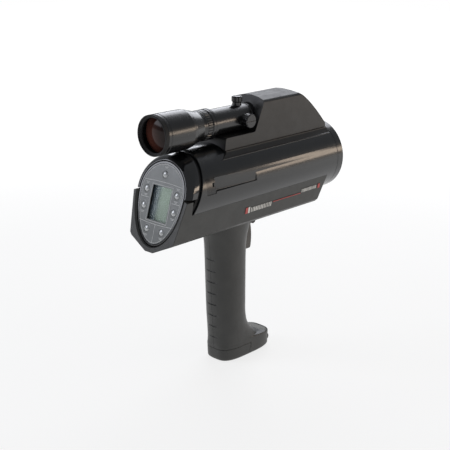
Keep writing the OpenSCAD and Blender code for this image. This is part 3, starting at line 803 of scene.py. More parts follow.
@dataclass(frozen=True)
class MouldedFinish(Finish):
    """Spark-eroded mould texture: rounded pits, with patches of handling shine and faint pale scuffs."""

    def relief(self, tree: bpy.types.NodeTree, coords: Any, lined: Any) -> bpy.types.NodeSocket:
        """Rounded pits of the mould over a slow unevenness."""
        pits = add_node(tree, "ShaderNodeTexVoronoi", {"feature": "SMOOTH_F1"}, {
            "Vector": lined, "Scale": per_mm(self.grain_mm), "Smoothness": 0.7})
        swell = add_node(tree, "ShaderNodeTexNoise", None, {
            "Vector": coords, "Scale": per_mm(self.grain_mm * 2.6), "Detail": 3.0})
        waves = add_sum(tree, "MULTIPLY", swell.outputs["Fac"], 0.8)
        return add_sum(tree, "ADD", pits.outputs["Distance"], waves)

    def paint(self, tree: bpy.types.NodeTree, coords: Any, drift: Any) -> bpy.types.NodeSocket:
        """Drifting plastic colour with faint pale scuffs along thin, broken lines."""
        base = Finish.paint(self, tree, coords, drift)
        scuff = add_node(tree, "ShaderNodeTexNoise", None, {
            "Vector": coords, "Scale": per_mm(7.0), "Detail": 9.0, "Roughness": 0.75, "Distortion": 1.6})
        worn = add_node(tree, "ShaderNodeMapRange", None, {
            "Value": scuff.outputs["Fac"], "From Min": 0.68, "From Max": 0.8, "To Max": 0.16})
        mix = add_node(tree, "ShaderNodeMix", {"data_type": "RGBA"}, {
            "Factor": worn.outputs[0], 6: base, 7: tone("#a4a29c")})
        return mix.outputs[2]


@dataclass(frozen=True)
class CoatedFinish(Finish):
    """Coated optical glass: a deep body colour and a sheen that changes towards grazing angles."""

    edge: str = "#6a3030"

    def paint(self, tree: bpy.types.NodeTree, coords: Any, drift: Any) -> bpy.types.NodeSocket:
        """Body colour in the middle, the coating's colour towards grazing angles."""
        facing = add_node(tree, "ShaderNodeLayerWeight", None, {"Blend": 0.35}).outputs["Facing"]
        return self.blend(tree, facing, tone(self.colour), tone(self.edge), 0.1, 0.8)


@dataclass(frozen=True)
class DisplayFinish(Finish):
    """Liquid-crystal glass: grey-green, with a painted shadow of the window's recess as a dark blue band
    along the operator's left edge.
    """

    # Colour and extent, in millimetres, of the painted shadow that stands in for the recess wall's shade
    shade: str = "#22384f"
    painted_shadow_mm: tuple[float, float] = (8.0, 0.5)

    def paint(self, tree: bpy.types.NodeTree, coords: Any, drift: Any) -> bpy.types.NodeSocket:
        """Grey-green ground that turns to the dark blue painted shadow across the display."""
        ground = Finish.paint(self, tree, coords, drift)
        y = add_node(tree, "ShaderNodeSeparateXYZ", None, {0: coords}).outputs[1]
        return self.blend(tree, y, ground, tone(self.shade), self.painted_shadow_mm[1] * MM, self.painted_shadow_mm[0] * MM)


@dataclass(frozen=True)
class ClearFinish(Finish):
    """Clear cover plate: a thin reflection over what lies behind it."""

    see_through: float = 0.9

    def surface(self, tree: bpy.types.NodeTree, shader: bpy.types.Node) -> bpy.types.NodeSocket:
        """Mostly transparent, the rest glossy."""
        clear = add_node(tree, "ShaderNodeBsdfTransparent", None, {"Color": (0.94, 0.97, 0.95, 1.0)})
        mix = add_node(tree, "ShaderNodeMixShader", None, {
            0: self.see_through, 1: shader.outputs[0], 2: clear.outputs[0]})
        return mix.outputs[0]


@dataclass(frozen=True)
class BoardFinish(Finish):
    """Solder mask with a faint grid of tracks under it."""

    def paint(self, tree: bpy.types.NodeTree, coords: Any, drift: Any) -> bpy.types.NodeSocket:
        """Green mask, lighter over the copper tracks."""
        tracks = add_node(tree, "ShaderNodeTexBrick", {"offset": 0.5}, {
            "Vector": coords, "Scale": per_mm(2.4), "Mortar Size": 0.06,
            "Color1": tone(self.colour), "Color2": tone("#1d5636"), "Mortar": tone("#5fae7c")})
        return tracks.outputs["Color"]


@dataclass(frozen=True)
class PaperFinish(Finish):
    """Paper sweep that turns to even white away from the object."""

    white_from: float = 420.0
    white_at: float = 1100.0

    def surface(self, tree: bpy.types.NodeTree, shader: bpy.types.Node) -> bpy.types.NodeSocket:
        """Paper near the object, lit white further out."""
        coords = add_node(tree, "ShaderNodeTexCoord").outputs["Object"]
        reach = add_node(tree, "ShaderNodeVectorMath", {"operation": "LENGTH"},
                         {0: coords}).outputs["Value"]
        share = add_node(tree, "ShaderNodeMapRange", {"interpolation_type": "SMOOTHSTEP"}, {
            "Value": reach, "From Min": self.white_from * MM, "From Max": self.white_at * MM,
            "To Min": 0.72}).outputs[0]
        white = add_node(tree, "ShaderNodeEmission", None, {"Color": (1, 1, 1, 1), "Strength": 1.08})
        return add_node(tree, "ShaderNodeMixShader", None, {
            0: share, 1: shader.outputs[0], 2: white.outputs[0]}).outputs[0]


class Finishes:
    """Every finish of the instrument, named for the real one."""

    # Satin moulded shell: grey-black, takes broad soft light, fine even pits
    body = MouldedFinish("body_plastic", "satin_moulded_shell", "#2b2b29", 0.4, grain_mm=0.55,
                         grain_depth=0.022, rubbed=0.07)
    # Black anodised aluminium: deep black with one broad soft band of light along the barrel
    barrel = Finish("anodised_barrel", "black_anodised_aluminium", "#0d0f11", 0.24, 0.0, grain_mm=0.35,
                    grain_depth=0.0012, rubbed=0.03, stretch=(6.0, 1.0, 1.0),
                    sockets=(("Coat Weight", 0.35), ("Coat Roughness", 0.12)))
    # Polished moulding: mirror-like black, sharp bright reflections
    cap = Finish("gloss_cap", "polished_black_moulding", "#0a0b0c", 0.13, grain_mm=2.5, grain_depth=0.004,
                 rubbed=0.04, sockets=(("Coat Weight", 0.6), ("Coat Roughness", 0.06)))
    # Coated objective: dark violet glass
    objective = CoatedFinish("coated_objective", "violet_coated_glass", "#141019", 0.04, 0.0, rubbed=0.01,
                             grain_depth=0.0005, edge="#3c2c5c",
                             sockets=(("Coat Weight", 1.0), ("Coat Roughness", 0.02)))
    # Plated steel of screws, pins and springs: bright, lightly brushed
    steel = Finish("steel_hardware", "plated_steel", "#b4b6b8", 0.28, 1.0, grain_mm=0.3,
                   grain_depth=0.004, rubbed=0.08)
    # Plain black inner mouldings: dull, even
    inner = MouldedFinish("inner_plastic", "dull_black_moulding", "#1d1d1d", 0.6, grain_mm=0.6,
                          grain_depth=0.02)
    # Solder mask of the boards: glossy green
    board = BoardFinish("circuit_board", "green_solder_mask", "#256b40", 0.3, grain_mm=1.2,
                        grain_depth=0.01)
    # Seal of the rear groove: dead black, soft
    seal = Finish("seal_rubber", "soft_black_rubber", "#0b0b0c", 0.72, grain_mm=0.8, grain_depth=0.03,
                  rubbed=0.1)
    # Printed film of the keypad: mid grey, semi-gloss with a fine orange-peel
    film = Finish("panel_film", "printed_keypad_film", "#5d605f", 0.36, mottle=0.07, grain_mm=0.9,
                  grain_depth=0.012, rubbed=0.06,
                  sockets=(("Coat Weight", 0.3), ("Coat Roughness", 0.25)))
    # Pale ink of the film's dividers and blank legends: thin, slightly raised
    ink = Finish("panel_film", "pale_film_ink", "#bcbdbb", 0.42, mottle=0.1, mottle_mm=3.0, grain_mm=0.5,
                 grain_depth=0.01)
    # Clear display window: faint reflection only
    window = ClearFinish("display_window", "clear_cover_plate", "#9aa09c", 0.05, rubbed=0.02,
                         grain_depth=0.0)
    # Display glass: grey-green ground and a dark blue painted shadow of the recess along one edge
    display = DisplayFinish("display_glass", "liquid_crystal_glass", "#9aa597", 0.2, mottle=0.05,
                            rubbed=0.03, grain_mm=0.4, grain_depth=0.003)
    # Port insert: smooth jet black
    port = Finish("port_plastic", "smooth_port_moulding", "#0c0d0f", 0.22, grain_mm=1.5, grain_depth=0.004)
    # Hood: matt charcoal moulding, coarser sand than the shell; the same plastic as the shell, its darker
    # tone is painted shade
    hood = MouldedFinish("hood_plastic", "sanded_black_moulding", "#121212", 0.44, grain_mm=0.7,
                         grain_depth=0.035, rubbed=0.06)
    # Sight body: satin black anodised, soft streak of light along the tube
    sight = Finish("sight_anodised", "satin_black_anodising", "#0b0b0c", 0.25, grain_mm=0.3,
                   grain_depth=0.0008, rubbed=0.03, stretch=(5.0, 1.0, 1.0),
                   sockets=(("Coat Weight", 0.25), ("Coat Roughness", 0.2)))
    # Eyepiece glass: amber coating over a dark tube
    eyeglass = CoatedFinish("coated_sight_glass", "amber_coated_glass", "#160c0b", 0.1, 0.0, rubbed=0.02,
                            grain_depth=0.0, edge="#6b3f34", sockets=(("Specular IOR Level", 0.16),))
    # Turned brass: warm, lathe lines
    brass = Finish("brass", "turned_brass", "#b08d45", 0.3, 1.0, grain_mm=0.25, grain_depth=0.006)
    # Trigger: brown-grey moulding, polished by the finger
    trigger = MouldedFinish("trigger_plastic", "worn_trigger_moulding", "#45413d", 0.36, grain_mm=0.6,
                            grain_depth=0.015)
    # Cell jackets: plain shrink film
    jacket = Finish("cell_jacket", "shrink_film", "#7c7d76", 0.3, grain_mm=3.0, grain_depth=0.01)
    # Jack cover: soft rubber, its pale grey tone partly the rubber's own and partly a painted reflection of
    # the white floor at a grazing angle
    cover = Finish("cover_rubber", "pale_soft_rubber", "#85857f", 0.62, grain_mm=0.7, grain_depth=0.03)
    # Red print of the side trim
    red = Finish("trim_red", "red_print", "#a63a35", 0.35, mottle=0.06, grain_mm=0.6, grain_depth=0.006)
    # Pale print of the side trim
    pale = Finish("trim_red", "pale_print", "#cfcdc8", 0.4, mottle=0.06, grain_mm=0.6, grain_depth=0.006)
    # Key domes: bright grey, glossy, one point of light each
    key = Finish("key_silver", "glossy_key_dome", "#a8aaab", 0.18, 0.35, mottle=0.05, grain_mm=0.8,
                 grain_depth=0.003, sockets=(("Coat Weight", 0.8), ("Coat Roughness", 0.08)))
    # Studio floor: warm white paper sweep
    floor = PaperFinish("", "paper_sweep", "#f4f3f1", 0.7, mottle=0.01, mottle_mm=400, grain_mm=2.0,
                        grain_depth=0.02)


# ---------------------------------------------------------------- sub-assemblies


@dataclass
class Assembly:
    """What every sub-assembly shares: the datum lines and the tools."""

    datum: Datum
    lathe: TurningTool

    def turn_x(self, name: str, profile: Sequence[Pair], finish: Finish, z: float | None = None,
               corner: float = 0.25, **more: Any) -> bpy.types.Object:
        """Turns a (back, radius) profile about a fore-and-aft axis at height z.

        Args:
            name: Name of the piece.
            profile: (back, radius) points.
            finish: Its finish.
            z: Height of the axis, in millimetres.
            corner: Radius that rounds the corners of the profile.
            **more: Other inputs of the turning tool.

        Returns:
            The turned solid.
        """
        outline = rounded([(-b, r) for b, r in profile], [0 if r < 0.01 else corner for _, r in profile], 4)
        centre = (self.datum.muzzle, 0, self.datum.axis if z is None else z)
        return self.lathe.turned(name, outline, finish, centre, **more)

    def ahead_of(self, name: str, back: float, slant: float) -> bpy.types.Object:
        """Block that fills everything in front of a slanted plane across the barrel's axis.

        Args:
            name: Name of the piece.
            back: Distance behind the muzzle.
            slant: Lean of the plane, in degrees.

        Returns:
            The block.
        """
        a = math.radians(slant)
        x, z, far = self.datum.x(back), self.datum.axis, 150.0
        along, up = Vector((math.cos(a), -math.sin(a))), Vector((math.sin(a), math.cos(a)))
        foot = Vector((x, z))
        corners = [foot - up * far, foot - up * far + along * far, foot + up * far + along * far,
                   foot + up * far]
        return prism(name, [tuple(c) for c in corners], -far, far, Plane.SIDE)


@dataclass
class PanelFrame:
    """The tilted frame of the rear panel: depth into the body, and height v up the panel."""

    datum: Datum
    back: float = 219.8
    tilt: float = 17.0

    def point(self, depth: float, y: float, v: float) -> tuple[float, float, float]:
        """Point of the panel's frame, in the object's."""
        s, c = math.sin(math.radians(self.tilt)), math.cos(math.radians(self.tilt))
        return (self.datum.x(self.back) + depth * c + v * s, y, self.datum.axis - depth * s + v * c)

    def egg(self, r: float, drop: float, inset: float = 0.0, sides: int = 112,
            centre: float = 0.8) -> list[Pair]:
        """Outline of a half circle over a half ellipse."""
        r, drop = r - inset, drop - inset
        return [(r * math.cos(t), centre + (r if math.sin(t) > 0 else drop) * math.sin(t))
                for t in circle(sides)]

    def plate(self, name: str, layers: Sequence[tuple[float, Sequence[Pair]]]) -> bpy.types.Object:
        """Solid through outlines of (y, v) points at given depths."""
        return loft(name, [[self.point(depth, y, v) for y, v in outline] for depth, outline in layers])

    def block(self, name: str, y: Pair, v: Pair, depth: Pair, corner: float = 0.0) -> bpy.types.Object:
        """Block with rounded corners, square to the panel."""
        outline = rounded([(y[0], v[0]), (y[1], v[0]), (y[1], v[1]), (y[0], v[1])], corner, 4)
        return self.plate(name, [(depth[0], outline), (depth[1], outline)])


@dataclass
class BodyShell(Assembly):
    """The two moulded shells with the handle, and the battery door cut from the same form."""

    panel: PanelFrame
    rows: RowTool
    screws: ScrewTool
    wall: float = 2.4
    low_y: float = 28.3
    low_dz: float = -39.5
    keel_dz: float = -51.2
    corner_dz: float = -14.3
    top_y: float = 32.5
    front: float = 21.0
    door_top: float = 12.5
    door_front: float = 116.0
    hinge: Pair = (113.5, 3.4)
    trigger_pin: Pair = (109.0, -47.0)
    seam: float = 0.1
    # Handle: dz, rear and front edge behind the muzzle, half width, roundness
    stations: tuple[tuple[float, ...], ...] = (
        (-44, 163, 109, 19.4, 2.2), (-52, 161, 111.5, 18.8, 2.2), (-58, 159.4, 113.6, 18.2, 2.2),
        (-68, 158.2, 115.2, 17.8, 2.2), (-84, 157.3, 115.6, 17.7, 2.2), (-110, 156.1, 115.6, 17.7, 2.2),
        (-134, 154.8, 115.6, 17.7, 2.2), (-146, 154, 113.8, 17.6, 2.2), (-156, 153.3, 109, 17.5, 2.3),
        (-162, 152.9, 103.5, 17.3, 2.5), (-166.8, 152.6, 98, 17.2, 2.8), (-168.2, 152.5, 83.5, 17.2, 3.2),
        (-170, 152.3, 81.5, 17.2, 3.4), (-182.7, 151.5, 82, 17.1, 3.4), (-184.5, 149.8, 83.8, 15.8, 3.4))
    screw_spots: tuple[Pair, ...] = ((62, -43.2), (94, -43.2), (170, -43.2), (206, -43.2), (87, -177))

    def ring(self, station: Sequence[float], inset: float = 0.0, sides: int = 72) -> list[Sequence[float]]:
        """Superellipse ring of one station.

        Args:
            station: dz, rear edge, front edge, half width and roundness.
            inset: Distance inside the outer surface.
            sides: Sides of the polygon.

        Returns:
            Points of the ring.
        """
        dz, rear, front, half, power = station
        a, b = (rear - front) / 2 - inset, half - inset
        middle = self.datum.x((rear + front) / 2)
        ring = []
        for t in circle(sides):
            c, s = math.cos(t), math.sin(t)
            x = middle + a * math.copysign(abs(c) ** (2 / power), c)
            ring.append((x, b * math.copysign(abs(s) ** (2 / power), s), self.datum.z(dz)))
        return ring

    def eased(self, dz: float) -> tuple[float, ...]:
        """Station at any height, on smooth curves that never overshoot the given ones.

        Args:
            dz: Height above the axis, in millimetres.

        Returns:
            The station at that height.
        """
        rows = self.stations
        k = max(i for i in range(len(rows) - 1) if rows[i][0] >= dz or i == 0)
        a, b = rows[k], rows[k + 1]
        t = (dz - a[0]) / (b[0] - a[0])
        result = [dz]
        for j in range(1, 5):
            slopes = []
            for i in (k, k + 1):
                if 0 < i < len(rows) - 1:
                    before = (rows[i][j] - rows[i - 1][j]) / (rows[i][0] - rows[i - 1][0])
                    after = (rows[i + 1][j] - rows[i][j]) / (rows[i + 1][0] - rows[i][0])
                    slopes.append(0.0 if before * after <= 0 else 2 * before * after / (before + after))
                else:
                    slopes.append((b[j] - a[j]) / (b[0] - a[0]))
            h = b[0] - a[0]
            result.append((2 * t**3 - 3 * t**2 + 1) * a[j] + (t**3 - 2 * t**2 + t) * h * slopes[0]
                          + (3 * t**2 - 2 * t**3) * b[j] + (t**3 - t**2) * h * slopes[1])
        return tuple(result)

    def handle(self, name: str, inset: float = 0.0, low: float = -184.5) -> bpy.types.Object:
        """Handle and foot, lofted through closely spaced rings.

        Args:
            name: Name of the piece.
            inset: Distance inside the outer surface.
            low: Lowest height.

        Returns:
            The solid.
        """
        top, levels = self.stations[0][0], []
        for a, b in zip(self.stations, self.stations[1:]):
            count = max(2, round(abs(b[0] - a[0]) / 2.2))
            levels += [a[0] + (b[0] - a[0]) * i / count for i in range(count)]
        levels = [d for d in levels if d > low] + [low]
        rings = [self.ring(self.eased(dz), inset) for dz in levels]
        if inset:
            rings = [self.ring((top + 8,) + self.stations[0][1:], inset)] + rings
        return loft(name, rings)

    def outline(self, inset: float, top: float) -> list[Pair]:
        """Cross-section of the body, in y and z, symmetric about the seam.

        Args:
            inset: Distance inside the outer surface.
            top: Height that the form reaches.

        Returns:
            Outline in y and z.
        """
        slope = (self.top_y - self.low_y) / (self.corner_dz - self.low_dz)
        low = self.low_y - inset
        half = [(5, self.keel_dz + inset + 0.3),
                (self.low_y - 2.4 - inset * 0.6, self.low_dz - 1.7 + inset),
                (low, self.low_dz + inset * 0.6 + 0.8), (low + slope * (top - self.low_dz), top)]
        radii = [3.0, 1.2, 1.2, 0.0]
        points = [(y, self.datum.z(d)) for y, d in half]
        points += [(-y, z) for y, z in reversed(points)]
        return rounded(points, radii + radii[::-1], 4)

    def block(self, name: str, inset: float = 0.0, rear: float = -1.3,
              top: float = 4.0) -> bpy.types.Object:
        """Body block: the cross-section cut to the slanted front and rear.

        Args:
            name: Name of the piece.
            inset: Distance inside the outer surface.
            rear: How far it stops short of the panel.
            top: Height that the form reaches.

        Returns:
            The solid.
        """
        lean = math.tan(math.radians(self.panel.tilt))
        low = -self.keel_dz + 1
        rise = (self.corner_dz - self.low_dz) / 10
        front, back = self.front + inset, self.panel.back - rear
        side = [(back - top * lean, top), (front, top), (front, self.corner_dz),
                (front + (low + self.corner_dz) / rise, -low), (back + low * lean, -low)]
        shape = prism(name, self.outline(inset, top), self.datum.x(250), self.datum.x(0), Plane.ACROSS)
        cut = prism("side", rounded(self.datum.side(side), [0, 0, 2.5, 0, 0], 4), -50, 50, Plane.SIDE)
        return combine(shape, Cut.SHARED, cut)

    def boss(self, spot: Pair, half: float, radius: float) -> bpy.types.Object:
        """Rod across the body at a (back, dz) place."""
        x, z = self.datum.x(spot[0]), self.datum.z(spot[1])
        return rod("boss", (x, -half, z), (x, half, z), radius, 40)

    def mouth(self) -> list[bpy.types.Object]:
        """Egg-shaped mouth for the panel, with its flared and rounded rim.

        Returns:
            The cutters.
        """
        egg, panel = self.panel.egg, self.panel
        straight = panel.plate("mouth", [(-4, egg(29, 49.2)), (7.4, egg(29, 49.2))])
        steps = [(-2.6, -4.6, -2.6), (-1.9, -3.9, -2.2), (-1.2, -2.7, -1.5), (-0.4, -1.3, -0.9),
                 (0.4, -0.2, -0.2), (1.4, 1.0, 0.4)]
        flare = []
        for depth, side, low in steps:
            wide, tall = (28.4 - side) / 28.4, (48.6 - low) / 48.6
            flare.append((depth, [(y * wide, 0.8 + (v - 0.8) * (wide if v > 0.8 else tall))
                                  for y, v in egg(28.4, 48.6)]))
        return [straight, panel.plate("flare", flare)]

    def spaces(self) -> list[bpy.types.Object]:
        """Everything that both shells are cleared for: barrel, panel, grooves, trigger, door, jack.

        Returns:
            The cutters.
        """
        d, axis = self.datum, self.datum.axis
        far = 60.0
        barrel = rod("barrel", (d.x(214), 0, axis), (d.x(-1), 0, axis), d.barrel_r + 0.1, 160)
        ledge, drop = axis - 0.6, axis - 0.6 - math.tan(math.radians(16)) * (far - 28)
        saddle = [(-far, drop), (-28, ledge), (28, ledge), (far, drop), (far, axis + far),
                  (-far, axis + far)]
        shoulder = prism("shoulder", saddle, d.x(250), d.x(0), Plane.ACROSS)
        grooves = self.rows.row("grooves", Finishes.inner, 8, (d.x(158.2), 0, d.z(-78.4)), (0.6, 0, -11.6),
                                (3.4, 60, 1.5))
        softened(grooves, 0.5, 3)
        pin_x, pin_z = d.x(self.trigger_pin[0]), d.z(self.trigger_pin[1])
        slot = slab("slot", (d.x(123), d.x(101)), (-5.2, 5.2), (d.z(-79.4), d.z(-41.4)))
        pin = rod("pin", (pin_x, -9.4, pin_z), (pin_x, 9.4, pin_z), 1.55, 32)
        insert = rod("insert", (0, 0, -1), (0, 0, 12.1), 5.0, 64)
        jack = rod("jack", (d.x(90.5), 0, 11.6), (d.x(90.5), 0, 21.6), 3.9, 48)
        hinge_x, hinge_z = d.x(self.hinge[0]), self.hinge[1]
        hinge = rod("hinge", (hinge_x, -14, hinge_z), (hinge_x, 14, hinge_z), 1.25, 32)
        arm = slab("arm", (d.x(117), d.x(110)), (-10.3, 10.3), (-1, 7.2))
        recess = prism("recess", self.oval(0.3), d.z(-170.1), d.z(-166), Plane.PLAN)
        return [barrel, shoulder, *self.mouth(), grooves, slot, pin, self.door_space(), hinge, arm,
                insert, jack, recess]

    def oval(self, grow: float = 0.0) -> list[Pair]:
        """Outline of the jack cover, in x and y."""
        x, r = self.datum.x(90.2), 4.6 + grow
        angles = [math.pi * (i / 16 - 0.5) for i in range(17)]
        ends = [(x + r * math.sin(t), 8 + r * math.cos(t)) for t in angles]
        return ends + [(2 * x - a, -b) for a, b in ends]

    def door_space(self) -> bpy.types.Object:
        """Space of the battery door, with the hinge knuckles left standing.

        Returns:
            The cutter.
        """
        d = self.datum
        space = slab("door space", (d.x(160), d.x(self.door_front)), (-40, 40), (-1, self.door_top))
        knuckles = [rod("knuckle", (d.x(self.hinge[0]), s * 10.3, self.hinge[1]),
                        (d.x(self.hinge[0]), s * 45, self.hinge[1]), 4.4, 48) for s in (1, -1)]
        return combine(space, Cut.AWAY, *knuckles)

    def shells(self) -> None:
        """Builds both shells from one form and parts them at the seam."""
        form = combine(softened(self.block("form"), 0.5, 3), Cut.ADD, self.handle("handle"))
        hollow = combine(self.block("hollow", self.wall, 6, 6), Cut.ADD,
                         self.handle("inner", self.wall, -186))
        form = combine(form, Cut.AWAY, hollow)
        bosses = [self.boss(spot, 12, 3.4) for spot in self.screw_spots]
        form = combine(form, Cut.ADD, *bosses, self.boss(self.trigger_pin, 11.1, 3.6))
        form = combine(form, Cut.AWAY, *self.spaces())
        for hand, node in ((Hand.LEFT, "housing_left"), (Hand.RIGHT, "housing_right")):
            near, far = sorted((hand.value * self.seam, hand.value * 60))
            keep = slab("keep", (-250, 250), (near, far), (-20, 300))
            half = combine(duplicate(form, "shell_" + hand.name.lower()), Cut.SHARED, keep)
            self.bore(half, hand)
            fitted(smoothed(half), "housing", Finishes.body, node)
        bpy.data.objects.remove(form)

    def bore(self, half: bpy.types.Object, hand: Hand) -> None:
        """Bores the screw holes: clear with head recesses on the left, blind on the right.

        Args:
            half: The shell.
            hand: Its side.
        """
        for spot in self.screw_spots:
            x, z = self.datum.x(spot[0]), self.datum.z(spot[1])
            if hand is Hand.LEFT:
                combine(half, Cut.AWAY, rod("bore", (x, -1, z), (x, 60, z), 1.7, 32),
                        rod("head", (x, 9, z), (x, 60, z), 3.0, 48))
            else:
                combine(half, Cut.AWAY, rod("bore", (x, 1, z), (x, -9, z), 1.5, 32))

    def door(self) -> None:
        """Battery door: the foot's rear part, its hinge arm and its snap tongue."""
        d = self.datum
        box = slab("box", (d.x(160), d.x(self.door_front + 0.3)), (-40, 40), (-1, self.door_top - 0.3))
        cap = softened(combine(self.handle("battery_door_cap"), Cut.SHARED, box), 0.35, 2, 50)
        hx, hz = d.x(self.hinge[0]), self.hinge[1]
        arm = slab("arm", (d.x(117), d.x(112.6)), (-9.6, 9.6), (1.2, 5.6))
        tube = rod("tube", (hx, -9.6, hz), (hx, 9.6, hz), 2.2, 48)
        far, near = d.x(149.2), d.x(147.8)
        profile = rounded([(far, 10.5), (near, 10.5), (near, 14.5), (far, 14.5)], [0, 0, 0.5, 0.5])
        tongue = prism("tongue", profile, -5, 5, Plane.SIDE)
        cap = combine(cap, Cut.ADD, arm, tube, tongue)
        inside = slab("inside", (d.x(147), d.x(119)), (-12, 12), (3, 23))
        seats = [rod("seat", (hx, s * 9.6, hz), (hx, s * 30, hz), 4.7, 48) for s in (1, -1)]
        cap = combine(cap, Cut.AWAY, inside, rod("bore", (hx, -15, hz), (hx, 15, hz), 1.3, 32), *seats)
        fitted(smoothed(cap), "battery_door", Finishes.body, "battery_door")

    def fasteners(self) -> None:
        """Five cross-recessed screws in the left shell, and the two hinge pins."""
        spots = [(self.datum.x(b), 10.0, self.datum.z(d)) for b, d in self.screw_spots]
        piece = self.screws.made("shell_screws", spots, Finishes.steel, Head_Radius=2.8 * MM,
                                 Head_Height=2 * MM, Shank_Radius=1.45 * MM, Shank_Length=16 * MM,
                                 Slot=0.8 * MM, Turn=(-math.pi / 2, 0, 0))
        fitted(smoothed(piece), "housing", Finishes.steel, "housing_screws")
        d, (hb, hz), (tb, tz) = self.datum, self.hinge, self.trigger_pin
        for name, x, z, r, half in (("door_pin", d.x(hb), hz, 1.25, 13.8),
                                    ("trigger_pin", d.x(tb), d.z(tz), 1.5, 8.8)):
            pin = softened(rod(name + "_turned", (x, -half, z), (x, half, z), r, 48), 0.3, 2)
            fitted(smoothed(pin), "housing", Finishes.steel, name)

    def foot(self) -> None:
        """Threaded brass insert of the tripod socket, and the jack with its rubber cover."""
        pitch, minor, major, depth = 1.27, 2.6, 3.1, 10.0
        thread: list[Pair] = [(0, minor + 0.7)]
        for i in range(int(depth / pitch)):
            thread += [(i * pitch + 0.75, minor), (i * pitch + 1.2, major)]
        profile = thread + [(depth, minor), (depth, 0), (12, 0), (12, 4.9), (0.3, 4.9), (0, 4.6)]
        insert = self.lathe.turned("tripod_insert_turned", profile, Finishes.brass, (0, 0, 0),
                                   (0, -math.pi / 2, 0), 64)
        fitted(smoothed(insert), "housing", Finishes.brass, "tripod_insert")
        cover = softened(prism("jack_cover_plug", self.oval(), self.datum.z(-170), self.datum.z(-167.9),
                               Plane.PLAN), 0.45, 3)
        fitted(smoothed(cover), "jack_cover", Finishes.cover, "jack_cover")

    def build(self) -> None:
        """Builds the shells, the door, the screws and the foot's fittings."""
        self.shells()
        self.door()
        self.fasteners()
        self.foot()


@dataclass
class OpticalBarrel(Assembly):
    """The metal barrel with its milled channels, the front bezel and lens, and the rear cap."""

    panel: PanelFrame
    wall: float = 4.5
    rear: float = 206.0
    slant: float = 21.0
    groove: float = 3.8
    recess: float = 13.0
    channel: Pair = (186.0, 132.0)
    pocket_rear: float = 198.0

    def tube(self) -> None:
        """Turns the tube with its slanted end, then mills the two beam channels."""
        r, d = self.datum.barrel_r, self.datum
        profile = [(9, r), (self.rear, r), (self.rear, r - self.wall), (14, r - self.wall), (14, r - 2),
                   (9, r - 2)]
        tube = self.turn_x("barrel_turned", profile, Finishes.barrel, corner=0.45, segments=192,
                           Slant=math.tan(math.radians(self.slant)), Slant_Front=-60 * MM,
                           Slant_Rear=-self.rear * MM)
        for hand in Hand:
            combine(tube, Cut.AWAY, *self.channel_cutters(hand))
        for back in (40, 150):
            combine(tube, Cut.AWAY, *[rod("hole", (d.x(back), y, d.z(20)), (d.x(back), y, d.z(40)), 1.7, 24)
                                      for y in (-12, 12)])
        fitted(smoothed(tube), "housing", Finishes.barrel, "barrel_tube")

    def channel_cutters(self, hand: Hand) -> list[bpy.types.Object]:
        """Tapered channel and the pocket behind it, on one side.

        Args:
            hand: Its side.

        Returns:
            The two cutters.
        """
        d, s = self.datum, hand.value
        rear, front = self.channel
        taper = [(d.x(rear + 0.5), s * 32.1), (d.x(front), s * 34.17), (d.x(front), s * 42),
                 (d.x(rear + 0.5), s * 42)]
        low, high = d.z(1.8), d.z(14.2)
        channel = softened(prism("channel", taper, low, high, Plane.PLAN), 0.8, 3)
        near, far = sorted((s * 31.4, s * 42))
        back = self.pocket_rear
        corners = [(back, 0), (rear, 0), (rear, 14.6), (back, 14.6)]
        pocket = prism("pocket", rounded(d.side(corners), 0.6), near, far, Plane.SIDE)
        return [channel, pocket]

    def front(self) -> None:
        """Bezel and coated objective."""
        bezel = [(2.4, 28.4), (0.8, 29.2), (0.2, 29.8), (0, 34.9), (0.6, 35.5), (8.85, 35.5), (8.85, 33.35),
                 (13.9, 33.35), (13.9, 30.9), (self.recess, 30.9), (self.recess, 28.4)]
        fitted(smoothed(self.turn_x("lens_bezel_turned", bezel, Finishes.barrel, segments=160)), "housing",
               Finishes.barrel, "lens_bezel")
        fitted(smoothed(self.turn_x("objective_glass", self.dome(self.recess + 0.2, 21, 30.6, 120),
                                    Finishes.objective, corner=0.0)), "housing", Finishes.objective,
               "objective_lens")

    @staticmethod
    def dome(crown: float, flat: float, radius: float, sphere: float, steps: int = 12) -> list[Pair]:
        """Profile of a plano-convex lens whose crown and flat stand at these distances back.

        Args:
            crown: Distance of the crown.
            flat: Distance of the flat face.
            radius: Radius of the lens.
            sphere: Radius of the curve.
            steps: Points along the curve.

        Returns:
            Closed profile of (back, radius) points.
        """
        sign = 1 if flat > crown else -1
        arc = []
        for i in range(steps + 1):
            r = radius * i / steps
            arc.append((crown + sign * (sphere - math.sqrt(sphere**2 - r**2)), r))
        return arc + [(flat, radius), (flat, 0.0)]

    def cap(self) -> None:
        """Polished rear cap: a half ring between the groove and the panel, with a rounded shoulder."""
        d, r = self.datum, self.datum.barrel_r - 0.6
        ring = self.turn_x("rear_cap_polished", [(186, 0), (186, r), (232, r), (232, 0)], Finishes.cap,
                           corner=0, segments=192)
        lean = (0, math.radians(self.panel.tilt), 0)
        centre = self.panel.point(0, 0, 0)
        shoulder = [(0, 0), (0, 30.2), (0.5, 31.5), (1.4, 32.9), (2.7, 34.2), (4.3, 35.2), (6, 35.9),
                    (46, 60), (46, 0)]
        form = self.lathe.turned("shoulder", shoulder, Finishes.cap, centre, lean, 128)
        above = slab("above", (-250, 250), (-80, 80), (d.z(-0.2), 400))
        ring = combine(ring, Cut.SHARED, form, above)
        ring = combine(ring, Cut.AWAY, self.ahead_of("groove", self.rear + self.groove, self.slant))
        ring = softened(ring, 0.35, 2, 30)
        opening = [(29 * math.cos(t), 0.8 + 29 * math.sin(t)) for t in circle(128)]
        bore = self.panel.plate("bore", [(-4, opening), (60, opening)])
        fitted(smoothed(combine(ring, Cut.AWAY, bore)), "housing", Finishes.cap, "rear_cap")

    def build(self) -> None:
        """Builds the tube, the front end and the cap."""
        self.tube()
        self.front()
        self.cap()


